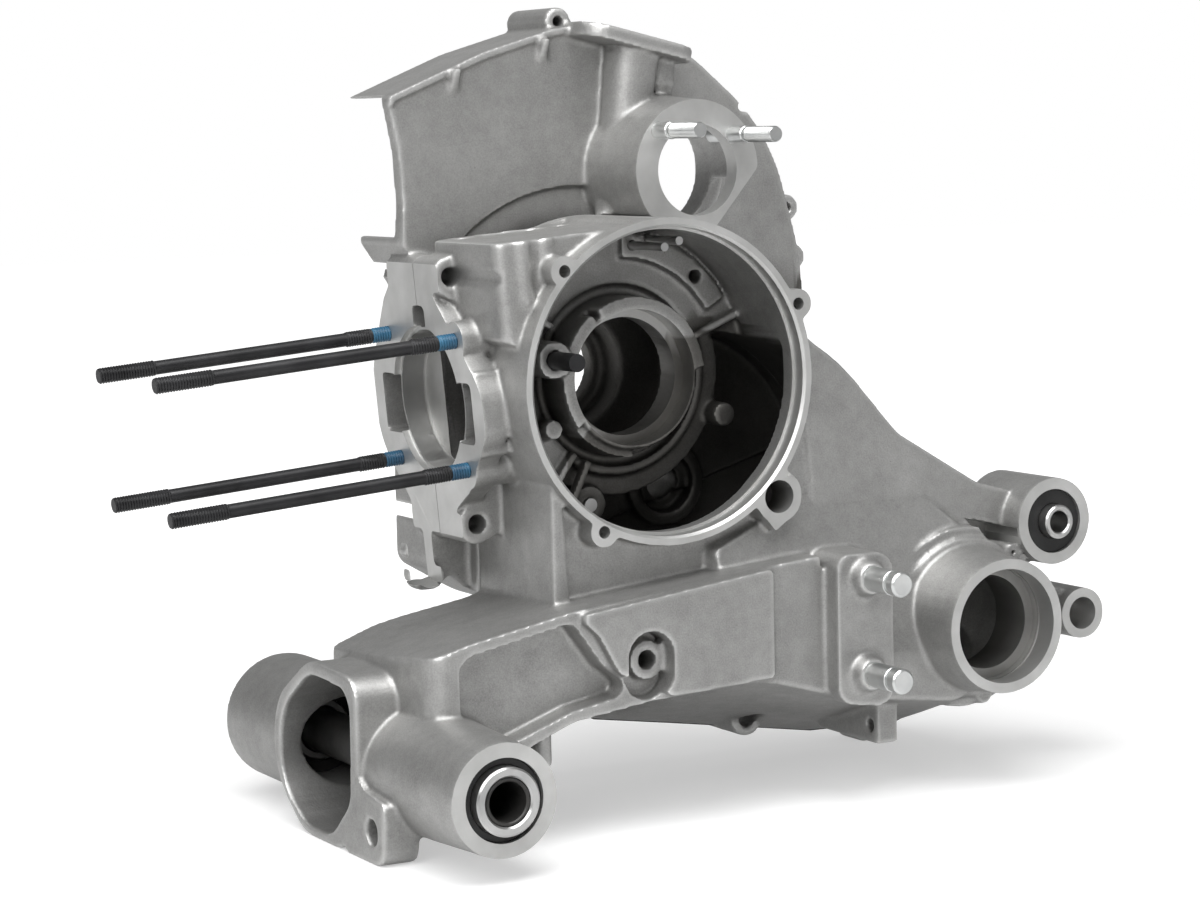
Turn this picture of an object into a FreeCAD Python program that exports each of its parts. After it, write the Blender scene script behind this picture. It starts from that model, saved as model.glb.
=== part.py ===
import FreeCAD, Part
import math
import os

# Bare crankcase of a scooter engine: two die-cast halves with the swing arm, gearbox and fan housing
# in one, fitted with its cylinder studs, starter studs, brake shoe pins and rubber bushes.
# Millimetres. The origin is the crank axis in the face that takes the clutch cover.
# The crank axis is +Y, towards the fan side. +Z is up, with the case standing on its three feet.
# Outline corners are (x, z, corner radius) unless a comment says otherwise.

# Planes across the case, along Y
FACE_Y = 0.0
SPLIT_Y = 76.0
FLOOR_Y = 50.0
WALL_Y = 90.0
RIM_Y = 130.0
GEAR_BACK_Y = 108.0
GASKET = 0.4
JOINT_NEAR_Y = SPLIT_Y - GASKET / 2
JOINT_FAR_Y = SPLIT_Y + GASKET / 2

# Castings
WALL = 4.0
WEB = 5.0
SEAT_GAP = 0.05

# Clutch chamber
CLUTCH_BORE_R = 67.5
CLUTCH_REGISTER = 8.0
CHAMBER_R = 66.6
CLUTCH_RING_W = 4.0
COVER_BOSS_R = 6.7
COVER_BOSS_ORBIT = 72.2
COVER_BOSS_ANGLES = (25.6, 135.9, 240.8)
COVER_BOSS_DEPTH = 16.0
COVER_BOSS_TOE = 14.0
COVER_SCREW_R = 2.75
COVER_SCREW_DEPTH = 14.0

# Filler boss beside the clutch ring
FILLER_X = 53.6
FILLER_Z = -54.2
FILLER_BOSS_R = 11.8
FILLER_BORE_R = 7.4
FILLER_DEPTH = 46.0
FILLER_ROOT = 8.0
FILLER_TOE = (51.5, -69.5)
FILLER_HEEL = (63.5, -61.0)

# Main bearing housing with its notched skirt, on the crank axis
SKIRT_Y = 33.0
SKIRT_LOW_Y = 36.5
SKIRT_R = 36.0
SKIRT_BORE_R = 30.5
SKIRT_SPANS = ((4.0, 121.0), (126.0, 216.0))
SKIRT_LOW_SPAN = (217.0, 270.0)
TROUGH_R = 41.0
TROUGH_DEPTH = 4.0
BEARING_DEPTH_Y = 44.0
BEARING_LIP_R = 26.5
CRANK_R = 49.0
CRANK_NEAR_Y = 58.0
CRANK_FAR_Y = 94.0
CRANK_WALL = 5.5

# Small things cast or fitted in the clutch chamber
CASE_STUD_X = -40.9
CASE_STUD_Z = 9.9
CASE_STUD_R = 4.0
CASE_STUD_TIP_Y = 11.0
CASE_STUD_BOSS_R = 8.4
CASE_STUD_BOSS_Y = 31.0
CASE_STUD_SEAT = 16.0
POST_X = -37.6
POST_Z = -21.6
POST_R = 4.4
POST_Y = 40.0
SPRING_LUG_ANGLE = -21.3
SPRING_LUG_OUT = 1.9
SPRING_LUG_R = 5.5
SPRING_LUG_Y = 44.0
GALLERY_PLUG_X = -15.2
GALLERY_PLUG_Z = -57.5
GALLERY_PLUG_R = 3.1
GALLERY_PLUG_OUT = 1.0
GALLERY_PLUG_SEAT = 6.0
# Small boss that carries the plug, beside the open gearbox mouth
GALLERY_BOSS_R = 8.5
GALLERY_BOSS_DEPTH = 11.0
ARC_PAD_IN_R = 53.0
ARC_PAD_OUT_R = 64.0
ARC_PAD_SPAN = (31.0, 88.0)
ARC_PAD_RISE = 3.0
ARC_PAD_HOLE_ANGLE = 47.0
ARC_PAD_HOLE_R = 3.0
ARC_PAD_HOLE_DEPTH = 8.0
CHAMBER_RIB_W = 3.4
CHAMBER_RIB_RISE = 5.0
CHAMBER_RIB_ANGLES = (22.4, 146.0, 234.0, 245.0)
GUIDE_PIN_R = 1.9
GUIDE_PIN_SPOTS = ((7.6, 58.0), (16.2, 60.4))
GUIDE_PIN_OUT = (32.0, 30.0)
GUIDE_PIN_SEAT = 10.0

# Primary gear space and gearbox
GEAR_X = 42.7
GEAR_Z = -54.6
GEAR_R = 72.5
GEAR_WALL = 4.0
GEAR_FRONT_Y = 16.5
GEAR_HOUSE_Y = 12.0
GEAR_STEP_Y = 54.0
SHAFT_SEAT_R = 14.0
SHAFT_BORE_R = 8.0
SHAFT_BOSS_R = 20.0

# Rear axle housing
AXLE_X = 154.3
AXLE_Z = -118.0
HUB_FACE_Y = -31.4
HUB_FACE_R = 30.6
HUB_ROOT_Y = -1.0
HUB_ROOT_R = 33.8
HUB_RING_R = 37.2
HUB_RING_W = 5.0
HUB_SEAL_R = 26.1
HUB_SEAL_Y = -15.5
HUB_BEARING_R = 21.6
HUB_GROOVE_R = 27.2
HUB_GROOVE_W = 1.6
HUB_GROOVE_Y = -19.5
HUB_BODY_R = 42.0
AXLE_CAVITY_R = 35.0
AXLE_CAVITY_Y = 8.0
HUB_EAR_R = 4.2
HUB_EAR_HOLE_R = 1.3
HUB_EAR_BACK = 12.0
HUB_EAR_DEPTH = 8.0
HUB_EAR_ORBIT = 38.6
HUB_EAR_ANGLES = (46.8, 165.5, 284.3)

# Brake shoe pins and their pad
PIN_X = 85.6
PIN_UPPER_Z = -90.9
PIN_LOWER_Z = -133.9
PIN_R = 5.6
PIN_TIP_Y = -49.7
PIN_NECK_R = 4.6
PIN_NECK_W = 2.0
PIN_HEAD_W = 5.5
PIN_CHAMFER = 0.8
PIN_BOSS_R = 9.4
PIN_BOSS_TIP_R = 6.7
PIN_BOSS_Y = -27.0
PIN_SEAT = 16.0
PIN_ROOT_R = 4.8
PIN_PAD_Y = -20.0
PIN_PAD_CORNERS = ((71.0, -80.0, 7.0), (71.0, -147.0, 9.0), (101.0, -151.0, 9.0), (101.0, -80.0, 10.0))

# Gearbox casting, front outline and split outline with matching corners
BODY_FRONT_Y = -10.0
BODY_FRONT = (
    (30.0, -78.0, 4.0),
    (96.0, -52.0, 16.0),
    (140.0, -68.0, 16.0),
    (176.0, -96.0, 14.0),
    (182.0, -140.0, 22.0),
    (140.0, -154.0, 10.0),
    (84.0, -147.0, 6.0),
    (45.0, -136.0, 4.0),
    (30.0, -134.0, 4.0),
)
BODY_SPLIT = (
    (-6.0, -70.0, 4.0),
    (118.0, -30.0, 16.0),
    (160.0, -62.0, 16.0),
    (198.0, -90.0, 14.0),
    (202.0, -160.0, 20.0),
    (166.0, -180.0, 8.0),
    (116.0, -179.0, 6.0),
    (40.0, -167.0, 6.0),
    (-6.0, -160.0, 6.0),
)
FRONT_SLOPE_TOP = 14.0
FRONT_SLOPE_TOP_Z = -48.0
FRONT_SLOPE_FOOT_Z = -128.0
BOX_CAVITY_Y = 16.0
BOX_WALL = 8.5

# Bar under the gearbox with its tapped hole
BAR_X = (104.0, 115.0)
BAR_Y = (0.0, 50.0)
BAR_Z = (-172.0, -140.0)
BAR_HOLE_Y = 6.5
BAR_HOLE_Z = -164.0
BAR_HOLE_R = 3.0
BAR_HOLE_DEPTH = 9.0

# Shock absorber lug and its arm
SHOCK_X = 201.8
SHOCK_Z = -76.5
SHOCK_R = 20.3
SHOCK_Y = (-3.5, 40.0)
SHOCK_BORE_R = 15.0
SHOCK_SLEEVE_R = 7.9
SHOCK_SLEEVE_BORE_R = 5.1
SHOCK_SLEEVE_OUT = 4.5
SHOCK_RUBBER_IN = 1.5
SHOCK_ARM_Y = (10.0, 36.0)
SHOCK_ARM = (
    (70.0, 20.0, 3.0),
    (99.0, -3.0, 30.0),
    (124.0, -31.0, 20.0),
    (168.0, -57.0, 12.0),
    (186.0, -62.0, 4.0),
    (205.0, -74.0, 2.0),
    (196.0, -100.0, 2.0),
    (150.0, -100.0, 2.0),
    (80.0, -80.0, 2.0),
)
SHOCK_POCKET = ((160.5, -73.2, 2.0), (190.0, -80.5, 2.0), (193.5, -88.5, 2.0), (168.0, -83.2, 3.0))
SHOCK_POCKET_Y = 28.0

# Exhaust lug
EXHAUST_X = 230.2
EXHAUST_Z = -124.6
EXHAUST_R = 12.1
EXHAUST_BORE_R = 7.7
EXHAUST_Y = (12.7, 46.0)
EXHAUST_NECK_Y = (20.0, 42.0)
EXHAUST_NECK_R = 16.0

# Swing arm between the gearbox and the pivot
ARM_Y = (-15.0, 84.0)
ARM = (
    (70.0, -81.0, 2.0),
    (38.0, -83.5, 10.0),
    (-58.0, -93.5, 20.0),
    (-108.5, -103.0, 20.0),
    (-130.0, -109.0, 4.0),
    (-130.0, -170.0, 4.0),
    (-108.0, -161.0, 20.0),
    (-84.0, -151.0, 20.0),
    (-60.0, -141.5, 20.0),
    (-19.0, -136.0, 30.0),
    (70.0, -131.5, 2.0),
)
ARM_FAR_DROP = (0.0, 1.5, 2.5, 4.5, 6.5, 0.0, 0.0, 0.0, 0.0, 0.0, 0.0)
# plan outline of the arm, corners are (x, y, corner radius)
ARM_PLAN = (
    (69.0, -10.0, 1.0),
    (44.0, -10.0, 6.0),
    (37.0, -15.0, 6.0),
    (-126.0, -15.0, 10.0),
    (-129.0, 20.0, 4.0),
    (-129.0, 84.0, 4.0),
    (-96.0, 84.0, 30.0),
    (-66.0, 75.8, 20.0),
    (69.0, 75.8, 1.0),
)
ARM_PAD_Y = -20.0
ARM_PAD = (
    (38.0, -83.0, 2.0),
    (-60.0, -95.3, 3.0),
    (-50.0, -104.0, 8.0),
    (-40.0, -122.0, 10.0),
    (-13.0, -134.5, 3.0),
    (38.0, -131.5, 2.0),
)
ARM_WEB_DEPTH = 12.0
ARM_WEB = (
    (-60.0, -98.5, 6.0),
    (-114.0, -109.5, 8.0),
    (-112.0, -152.0, 6.0),
    (-88.0, -146.5, 10.0),
    (-60.0, -136.5, 10.0),
    (-30.0, -131.0, 8.0),
    (-46.0, -118.0, 8.0),
)
ARM_HOLLOW_Z = 6.0
ARM_HOLLOW_DROP = 2.0
ARM_HOLLOW_X = (-88.0, -12.0)
ARM_HOLLOW_Y = (0.0, 78.0)
ARM_RIB_W = 5.0
ARM_RIBS = 2
ARM_POCKET = (-24.0, -120.0, 11.0, 15.0)
ARM_POCKET_Y = -6.0
ARM_STUB_TOP_Z = -138.0
ARM_BOLT_X = -22.0
ARM_BOLT_Z = -118.5
ARM_BOLT_ROOT_Z = -96.0
ARM_BOLT_BOSS_R = 8.6
ARM_BOLT_BOSS_Y = -12.0
ARM_STUB = (-66.0, 5.0, 4.6, -163.0)

# Pivot at the front end of the arm
PIVOT_X = -117.9
PIVOT_Z = -159.5
PIVOT_NEAR_Y = -62.5
PIVOT_NEAR_R = 23.9
PIVOT_NEAR_ROOT_Y = 19.0
PIVOT_NEAR_ROOT_R = 28.0
PIVOT_FAR_Y = 166.3
PIVOT_FAR_R = 29.3
PIVOT_FAR_ROOT_Y = 40.0
PIVOT_NEAR_BORE_R = 17.7
PIVOT_FAR_BORE_R = 20.0
BUSH_LENGTH = 44.0
BUSH_IN = 2.0
SPACER_IN = 0.6
SLEEVE_R = 14.4
SLEEVE_OUT = 4.0
SPACER_R = 10.2
SPACER_BORE_R = 8.4
# collar and its window, corners are (y, z, corner radius)
COLLAR = (
    (14.0, -118.0, 12.0),
    (64.0, -116.0, 30.0),
    (104.5, -140.0, 34.0),
    (104.5, -174.0, 34.0),
    (74.0, -194.4, 28.0),
    (30.0, -194.4, 20.0),
    (14.0, -176.0, 12.0),
)
COLLAR_WINDOW = (
    (20.5, -124.0, 12.0),
    (64.0, -122.0, 28.0),
    (98.0, -144.0, 30.0),
    (98.0, -176.0, 28.0),
    (72.0, -190.4, 24.0),
    (44.0, -190.4, 22.0),
    (22.5, -172.0, 14.0),
)
COLLAR_WALL = 3.2
COLLAR_MID_Y = 60.0
COLLAR_X = (-149.0, -108.0)
FOOT_Z = -194.4
FOOT_X = (-149.0, -132.0)
FOOT_LUG = (
    (-12.0, -167.0, 4.0),
    (-10.0, -194.4, 8.0),
    (30.0, -194.4, 4.0),
    (30.0, -150.0, 6.0),
    (8.0, -164.0, 6.0),
)
FOOT_HOLE_Y = 1.5
FOOT_HOLE_Z = -181.0
FOOT_HOLE_R = 5.8

# Cylinder seat, drawn level and then tilted about the crank axis with the cylinder
CYLINDER_TILT = 4.8
SEAT_X = -82.8
SEAT_PLATE = 11.0
CYL_Y = 75.5
CYL_Z = -1.2
MOUTH_R = 31.5
MOUTH_STEP_R = 33.5
MOUTH_STEP = 3.0
# seat outline corners are (y, z, corner radius), near half then far half
SEAT_OUTLINE = (
    (58.5, 55.5, 3.0),
    (59.0, 46.0, 3.0),
    (20.0, 6.0, 22.0),
    (20.0, -14.0, 18.0),
    (42.0, -40.0, 6.0),
    (64.0, -52.5, 5.0),
    (100.0, -52.5, 5.0),
    (130.0, -22.0, 28.0),
    (131.0, 10.0, 28.0),
    (111.0, 43.0, 8.0),
    (97.0, 55.5, 4.0),
)
PORT_HALF_Y = 45.0
PORT_Z = (-18.0, 9.0)
PORT_DEPTH = 13.0
MOUTH_DEPTH = 14.0
THROAT_DEPTH = 45.0
OIL_SLOT_HALF = 6.0
OIL_SLOT_Z = 41.0
OIL_SLOT_DEPTH = 12.0

# Cylinder studs
STUD_HALF_Y = 34.1
STUD_HALF_Z = 28.4
STUD_SHANK_R = 3.1
STUD_THREAD_R = 3.5
STUD_LENGTH = 138.5
STUD_TOP_THREAD = 26.0
STUD_ROOT_THREAD = 21.5
STUD_SEAT = 22.0
STUD_BOSS_R = 8.6
STUD_BOSS_X = 34.0
STUD_CHAMFER = 0.6

# Case joint lugs either side of the cylinder seat
LUG_UPPER_X = -80.5
LUG_UPPER_Z = 47.5
LUG_LOWER_X = -70.5
LUG_LOWER_Z = -62.0
# how far each lug's root lies along x and z from its hole, and how much wider it is there
LUG_UPPER_ROOT = (28.0, -12.0, 3.0)
LUG_LOWER_ROOT = (22.0, 14.0, 5.0)
LUG_BOLT_R = 4.15
LUG_R = 9.0
LUG_NEAR_Y = 52.0
LUG_FAR_Y = 104.0
DOWEL_R = 5.5
DOWEL_BORE_R = 4.4
DOWEL_LENGTH = 14.0
DOWEL_SPOTS = ((70.0, -165.0), (-22.0, -118.5))
SPLIT_LUG_X = 70.0
SPLIT_LUG_Z = -165.0
SPLIT_LUG_R = 8.5
SPLIT_LUG_Y = 58.0
SPLIT_LUG_FAR = 14.0

# Block below the clutch ring that stands on the arm
PLINTH_Y = 12.0
PLINTH_HOLLOW = ((-53.0, -30.0, 2.0), (-53.0, -92.0, 4.0), (4.0, -86.0, 4.0), (4.0, -30.0, 2.0))
PLINTH_HOLLOW_Y = 18.0
PLINTH = ((-58.0, -20.0, 2.0), (-58.0, -98.0, 2.0), (60.0, -84.0, 2.0), (60.0, -20.0, 2.0))
PLINTH_RIB = ((-58.0, -40.0, 1.0), (-58.0, -95.0, 1.0), (-50.0, -94.0, 1.0), (-52.5, -40.0, 1.0))
PLINTH_RIB_Y = 5.0

# Carburettor pad, tilted with the cylinder
CARB_X = (-74.0, -6.0)
CARB_Y = (10.0, 74.0)
CARB_Z = (20.0, 69.0)
CARB_FACING = 8.0
CARB_SLOPE = 32.0
CARB_SLOPE_TOP = 12.0
CARB_CORNER_R = 5.0
CARB_PORT_X = -38.0
CARB_PORT_Y = 66.0
CARB_PORT_HALF = (15.0, 6.0)
CARB_SCREW_R = 3.5
CARB_SCREW_SPREAD = 24.0
CARB_SCREW_DEPTH = 16.0
CARB_RIB_R = 4.2
CARB_RIB_TIP_R = 0.4
CARB_RIB_TOE = 10.0
CARB_RIBS_X = (-61.2, -49.8)
CARB_RIB_Z = 42.0

# Fan housing of the far half
FAN_OUTLINE = (
    (-88.0, 61.0, 2.0),
    (-87.0, 80.0, 60.0),
    (-88.5, 103.0, 40.0),
    (-93.0, 126.0, 3.0),
    (-45.0, 145.5, 60.0),
    (-5.0, 157.0, 40.0),
    (55.0, 152.0, 70.0),
    (107.0, 108.0, 90.0),
    (127.0, 36.0, 110.0),
    (112.0, -50.0, 90.0),
    (55.0, -106.0, 80.0),
    (-40.0, -106.0, 40.0),
    (-74.0, -86.0, 8.0),
    (-74.0, 40.0, 8.0),
)
FAN_WALL = 4.0
FAN_OUTLET_X = -60.0
FAN_OUTLET_Z = 64.0
FAN_OUTLET_TOP_Z = 126.0
FAN_STEP_R = 84.5
FAN_STEP = 3.0
FAN_STEP_Z = 52.0
FAN_HUB_R = 54.0
FAN_HUB_Y = 118.0
COVER_LUG_R = 6.5
COVER_LUG_BORE_R = 2.5
COVER_LUG_TOP = (-4.0, 159.0)
COVER_LUG_SPOTS = ((93.0, 119.0), (132.0, 70.0), (135.5, 46.0), (70.0, -103.0))
COVER_LUG_DEPTH = 14.0
COVER_LUG_REACH = 24.0
LIP = 3.2
LIP_Y = 85.0
LIP_FLOOR_Z = 122.0
LIP_X = (-96.0, 2.0)
STATOR_SCREW_R = 2.2
STATOR_SCREW_DEPTH = 10.0
STATOR_ORBIT = 51.0
STATOR_RECESS = (31.0, 48.0)
STATOR_RECESS_Y = 100.0
MAIN_SEAT_R = 26.0
MAIN_SEAT_Y = 110.0
SEAL_R = 19.0
GUSSET_W = 4.0
GUSSET_SPOTS = ((-62.0, 138.0), (-17.0, 151.0))
GUSSET_DROP = 16.0
GUSSET_REACH = 9.0

# Starter motor seat on the fan housing
STARTER_X = 40.7
STARTER_Z = 90.8
STARTER_FACE_Y = 44.6
STARTER_FACE_R = 31.7
STARTER_ROOT_R = 35.0
STARTER_BORE_R = 20.5
STARTER_LAND = 9.0
STARTER_INSIDE_R = 27.0
STARTER_CUT = ((73.6, 92.6), (50.8, 66.1))
STARTER_CUT_DEPTH = 34.0
STARTER_STUD_SPOTS = ((21.0, 108.8), (59.8, 106.3))
STARTER_STUD_R = 3.9
STARTER_STUD_NECK_R = 3.2
STARTER_STUD_NECK_W = 1.5
STARTER_STUD_THREAD_R = 3.6
STARTER_STUD_TIP_R = 2.7
STARTER_STUD_TIP_Y = 8.0
STARTER_STUD_COLLAR = 12.0
STARTER_STUD_SEAT = 18.0

# Cable tunnel and its flange above the fan housing
TUNNEL_FOOT_Z = 66.0
TUNNEL_TOP_R = 12.5
TUNNEL_FOOT_R = 9.0
TUNNEL_TOP_X = 28.0
TUNNEL_FOOT_X = 16.5
TUNNEL_Y = 80.0
TUNNEL_BORE_R = 6.8
TUNNEL_BORE_DEPTH = 58.0
PLATE_ANGLE = 13.5
PLATE_MID_X = 28.0
PLATE_HALF_LENGTH = 29.0
PLATE_HALF_WIDTH = 19.0
PLATE_CORNER_R = 12.0
PLATE_THICKNESS = 6.5
PLATE_TOP_Z = 152.0
PLATE_MID_Y = 84.0

# Lower bracket beside the cylinder seat
BRACKET = (
    (-87.5, -68.0, 3.0),
    (-90.5, -77.5, 2.0),
    (-86.5, -81.0, 2.0),
    (-89.0, -87.0, 5.0),
    (-85.5, -94.5, 6.0),
    (-74.5, -94.5, 6.0),
    (-68.5, -88.0, 3.0),
    (-60.0, -96.5, 6.0),
    (-45.5, -92.5, 4.0),
    (-45.5, -72.0, 3.0),
)
BRACKET_Y = (86.0, 94.0)
BRACKET_HOLE_X = -79.8
BRACKET_HOLE_Z = -87.6
BRACKET_HOLE_R = 2.8
BRACKET_BOSS_R = 5.6
BRACKET_BOSS_OUT = 8.0

# Rear foot and gear selector pad on the far half
SELECTOR_PAD = ((116.0, -96.0, 10.0), (190.0, -96.0, 10.0), (190.0, -146.0, 10.0), (116.0, -146.0, 10.0))
SELECTOR_RISE = 8.0
SELECTOR_BORE_R = 9.0
KICK_BOSS_R = 19.0
KICK_BOSS_Y = 120.0
HEEL = ((150.0, -160.0, 6.0), (163.0, -194.4, 3.0), (181.0, -194.4, 3.0), (190.0, -160.0, 6.0))
HEEL_Y = (104.0, 124.0)

# Allowances for the cutting shapes: a little past a face, and past the whole part
CLEAR = 1.0
REACH = 3 * EXHAUST_X
# Share of a side that one rounded corner may take, and the smallest length that counts
CORNER_SHARE = 0.48
SMALL = 1e-6


def vec(x, y, z):
    return FreeCAD.Vector(x, y, z)


def in_xz(y):
    return lambda u, v: vec(u, y, v)


def in_yz(x):
    return lambda u, v: vec(x, u, v)


def in_xy(z):
    return lambda u, v: vec(u, v, z)


def outline(corners, place):
    # closed wire through the corners, each rounded by its own radius
    count = len(corners)
    edges = []
    spots = []
    for i in range(count):
        ax, az, _ = corners[i - 1]
        bx, bz, radius = corners[i]
        cx, cz, _ = corners[(i + 1) % count]
        in_len = math.hypot(ax - bx, az - bz)
        out_len = math.hypot(cx - bx, cz - bz)
        ux, uz = (ax - bx) / in_len, (az - bz) / in_len
        wx, wz = (cx - bx) / out_len, (cz - bz) / out_len
        half = math.acos(max(-1.0, min(1.0, ux * wx + uz * wz))) / 2
        back = min(radius / math.tan(half), CORNER_SHARE * in_len, CORNER_SHARE * out_len)
        fitted = back * math.tan(half)
        mx, mz = ux + wx, uz + wz
        m_len = math.hypot(mx, mz)
        reach = fitted / math.sin(half) - fitted
        spots.append(
            (
                (bx + ux * back, bz + uz * back),
                (bx + mx / m_len * reach, bz + mz / m_len * reach),
                (bx + wx * back, bz + wz * back),
            )
        )
    for i in range(count):
        start, middle, end = spots[i]
        following = spots[(i + 1) % count][0]
        edges.append(Part.Arc(place(*start), place(*middle), place(*end)).toShape())
        edges.append(Part.LineSegment(place(*end), place(*following)).toShape())
    return Part.Wire(edges)


def slab(corners, y0, y1):
    face = Part.Face(outline(corners, in_xz(y0)))
    return face.extrude(vec(0, y1 - y0, 0))


def slab_x(corners, x0, x1):
    face = Part.Face(outline(corners, in_yz(x0)))
    return face.extrude(vec(x1 - x0, 0, 0))


def slab_z(corners, z0, z1):
    face = Part.Face(outline(corners, in_xy(z0)))
    return face.extrude(vec(0, 0, z1 - z0))


def tapered(corners0, y0, corners1, y1):
    wires = [outline(corners0, in_xz(y0)), outline(corners1, in_xz(y1))]
    return Part.makeLoft(wires, True, True)


def rod(x, z, radius, y0, y1):
    return Part.makeCylinder(radius, y1 - y0, vec(x, y0, z), vec(0, 1, 0))


def cone(x, z, radius0, radius1, y0, y1):
    return Part.makeCone(radius0, radius1, y1 - y0, vec(x, y0, z), vec(0, 1, 0))


def rod_x(y, z, radius, x0, x1):
    return Part.makeCylinder(radius, x1 - x0, vec(x0, y, z), vec(1, 0, 0))


def rod_z(x, y, radius, z0, z1):
    return Part.makeCylinder(radius, z1 - z0, vec(x, y, z0), vec(0, 0, 1))


def block(x0, x1, y0, y1, z0, z1):
    return Part.makeBox(x1 - x0, y1 - y0, z1 - z0, vec(x0, y0, z0))


def tube(x, z, outer, inner, y0, y1):
    return rod(x, z, outer, y0, y1).cut(rod(x, z, inner, y0 - CLEAR, y1 + CLEAR))


def sector(inner, outer, span, y0, y1):
    # part of a ring about the crank axis, between two angles in degrees
    low, high = (math.radians(a) for a in span)
    mid = (low + high) / 2

    def at(radius, angle):
        return vec(radius * math.cos(angle), y0, radius * math.sin(angle))

    edges = [
        Part.Arc(at(outer, low), at(outer, mid), at(outer, high)).toShape(),
        Part.LineSegment(at(outer, high), at(inner, high)).toShape(),
        Part.Arc(at(inner, high), at(inner, mid), at(inner, low)).toShape(),
        Part.LineSegment(at(inner, low), at(outer, low)).toShape(),
    ]
    return Part.Face(Part.Wire(edges)).extrude(vec(0, y1 - y0, 0))


def polar(orbit, angle):
    return orbit * math.cos(math.radians(angle)), orbit * math.sin(math.radians(angle))


def strap(spot_a, radius_a, spot_b, radius_b, y0, y1):
    # two rods and the flat-sided web between them
    ax, az = spot_a
    bx, bz = spot_b
    length = math.hypot(bx - ax, bz - az)
    nx, nz = -(bz - az) / length, (bx - ax) / length
    corners = [
        vec(ax + nx * radius_a, y0, az + nz * radius_a),
        vec(bx + nx * radius_b, y0, bz + nz * radius_b),
        vec(bx - nx * radius_b, y0, bz - nz * radius_b),
        vec(ax - nx * radius_a, y0, az - nz * radius_a),
    ]
    web = Part.Face(Part.makePolygon(corners + corners[:1])).extrude(vec(0, y1 - y0, 0))
    return join([web, rod(ax, az, radius_a, y0, y1), rod(bx, bz, radius_b, y0, y1)])


def tilt(shape):
    turned = shape.copy()
    turned.rotate(vec(0, 0, 0), vec(0, 1, 0), -CYLINDER_TILT)
    return turned


def join(shapes):
    return shapes[0].fuse(shapes[1:]) if len(shapes) > 1 else shapes[0]


def grown(corners, extra):
    # the same outline moved outward from its middle by a fixed amount
    mid_x = sum(c[0] for c in corners) / len(corners)
    mid_z = sum(c[1] for c in corners) / len(corners)
    moved = []
    for x, z, radius in corners:
        reach = math.hypot(x - mid_x, z - mid_z)
        moved.append((x + (x - mid_x) / reach * extra, z + (z - mid_z) / reach * extra, radius))
    return tuple(moved)


def body_at(y, inset):
    # gearbox outline at one plane, moved inward for the cavity
    share = (y - BODY_FRONT_Y) / (SPLIT_Y - BODY_FRONT_Y)
    corners = [
        (a[0] + (b[0] - a[0]) * share, a[1] + (b[1] - a[1]) * share, a[2] + (b[2] - a[2]) * share)
        for a, b in zip(BODY_FRONT, BODY_SPLIT)
    ]
    return grown(corners, -inset)


def box_cavity():
    cavity = tapered(body_at(BOX_CAVITY_Y, BOX_WALL), BOX_CAVITY_Y, body_at(SPLIT_Y, BOX_WALL), SPLIT_Y)
    # behind the joint the fan housing's own wall closes the gearbox off
    back = slab(body_at(SPLIT_Y, BOX_WALL), SPLIT_Y, GEAR_BACK_Y - WALL)
    back = back.cut(slab(FAN_OUTLINE, WALL_Y, RIM_Y))
    return join([cavity, back]).cut(rod(0, 0, CRANK_R + CRANK_WALL, FACE_Y, RIM_Y))


def stud_spots():
    return [
        ("upper_near", CYL_Y - STUD_HALF_Y, CYL_Z + STUD_HALF_Z),
        ("upper_far", CYL_Y + STUD_HALF_Y, CYL_Z + STUD_HALF_Z),
        ("lower_near", CYL_Y - STUD_HALF_Y, CYL_Z - STUD_HALF_Z),
        ("lower_far", CYL_Y + STUD_HALF_Y, CYL_Z - STUD_HALF_Z),
    ]


def half_space(near):
    # everything on one side of the joint, less half the gasket
    far = REACH
    if near:
        return block(-far, far, -far, JOINT_NEAR_Y, -far, far)
    return block(-far, far, JOINT_FAR_Y, far, -far, far)


def cylinder_seat():
    # the plate that carries the cylinder, with the stud bosses behind it
    plate = slab_x(SEAT_OUTLINE, SEAT_X, SEAT_X + SEAT_PLATE)
    parts = [plate]
    for _, y, z in stud_spots():
        parts.append(rod_x(y, z, STUD_BOSS_R, SEAT_X, SEAT_X + STUD_BOSS_X))
    throat = rod_x(CYL_Y, CYL_Z, MOUTH_R + WEB, SEAT_X + CLEAR, SEAT_X + THROAT_DEPTH)
    ports = block(
        SEAT_X + CLEAR, SEAT_X + PORT_DEPTH + WEB, CYL_Y - PORT_HALF_Y - WEB, CYL_Y + PORT_HALF_Y + WEB,
        PORT_Z[0] - WEB, PORT_Z[1] + WEB,
    )
    parts += [throat, ports]
    return tilt(join(parts))


def cylinder_mouth():
    mouth = rod_x(CYL_Y, CYL_Z, MOUTH_R, SEAT_X - CLEAR, SEAT_X + MOUTH_DEPTH)
    throat = rod_x(CYL_Y, CYL_Z, MOUTH_R, SEAT_X, 0.0)
    throat = throat.common(block(SEAT_X, 0.0, CRANK_NEAR_Y, WALL_Y - CLEAR, -MOUTH_R * 2, MOUTH_R * 2))
    step = rod_x(CYL_Y, CYL_Z, MOUTH_STEP_R, SEAT_X - CLEAR, SEAT_X + MOUTH_STEP)
    ports = block(
        SEAT_X - CLEAR, SEAT_X + PORT_DEPTH, CYL_Y - PORT_HALF_Y, CYL_Y + PORT_HALF_Y, PORT_Z[0], PORT_Z[1]
    )
    slot = block(
        SEAT_X - CLEAR, SEAT_X + OIL_SLOT_DEPTH, CYL_Y - OIL_SLOT_HALF, CYL_Y + OIL_SLOT_HALF,
        CYL_Z, OIL_SLOT_Z,
    )
    return tilt(join([mouth, throat, step, ports, slot]))


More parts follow.
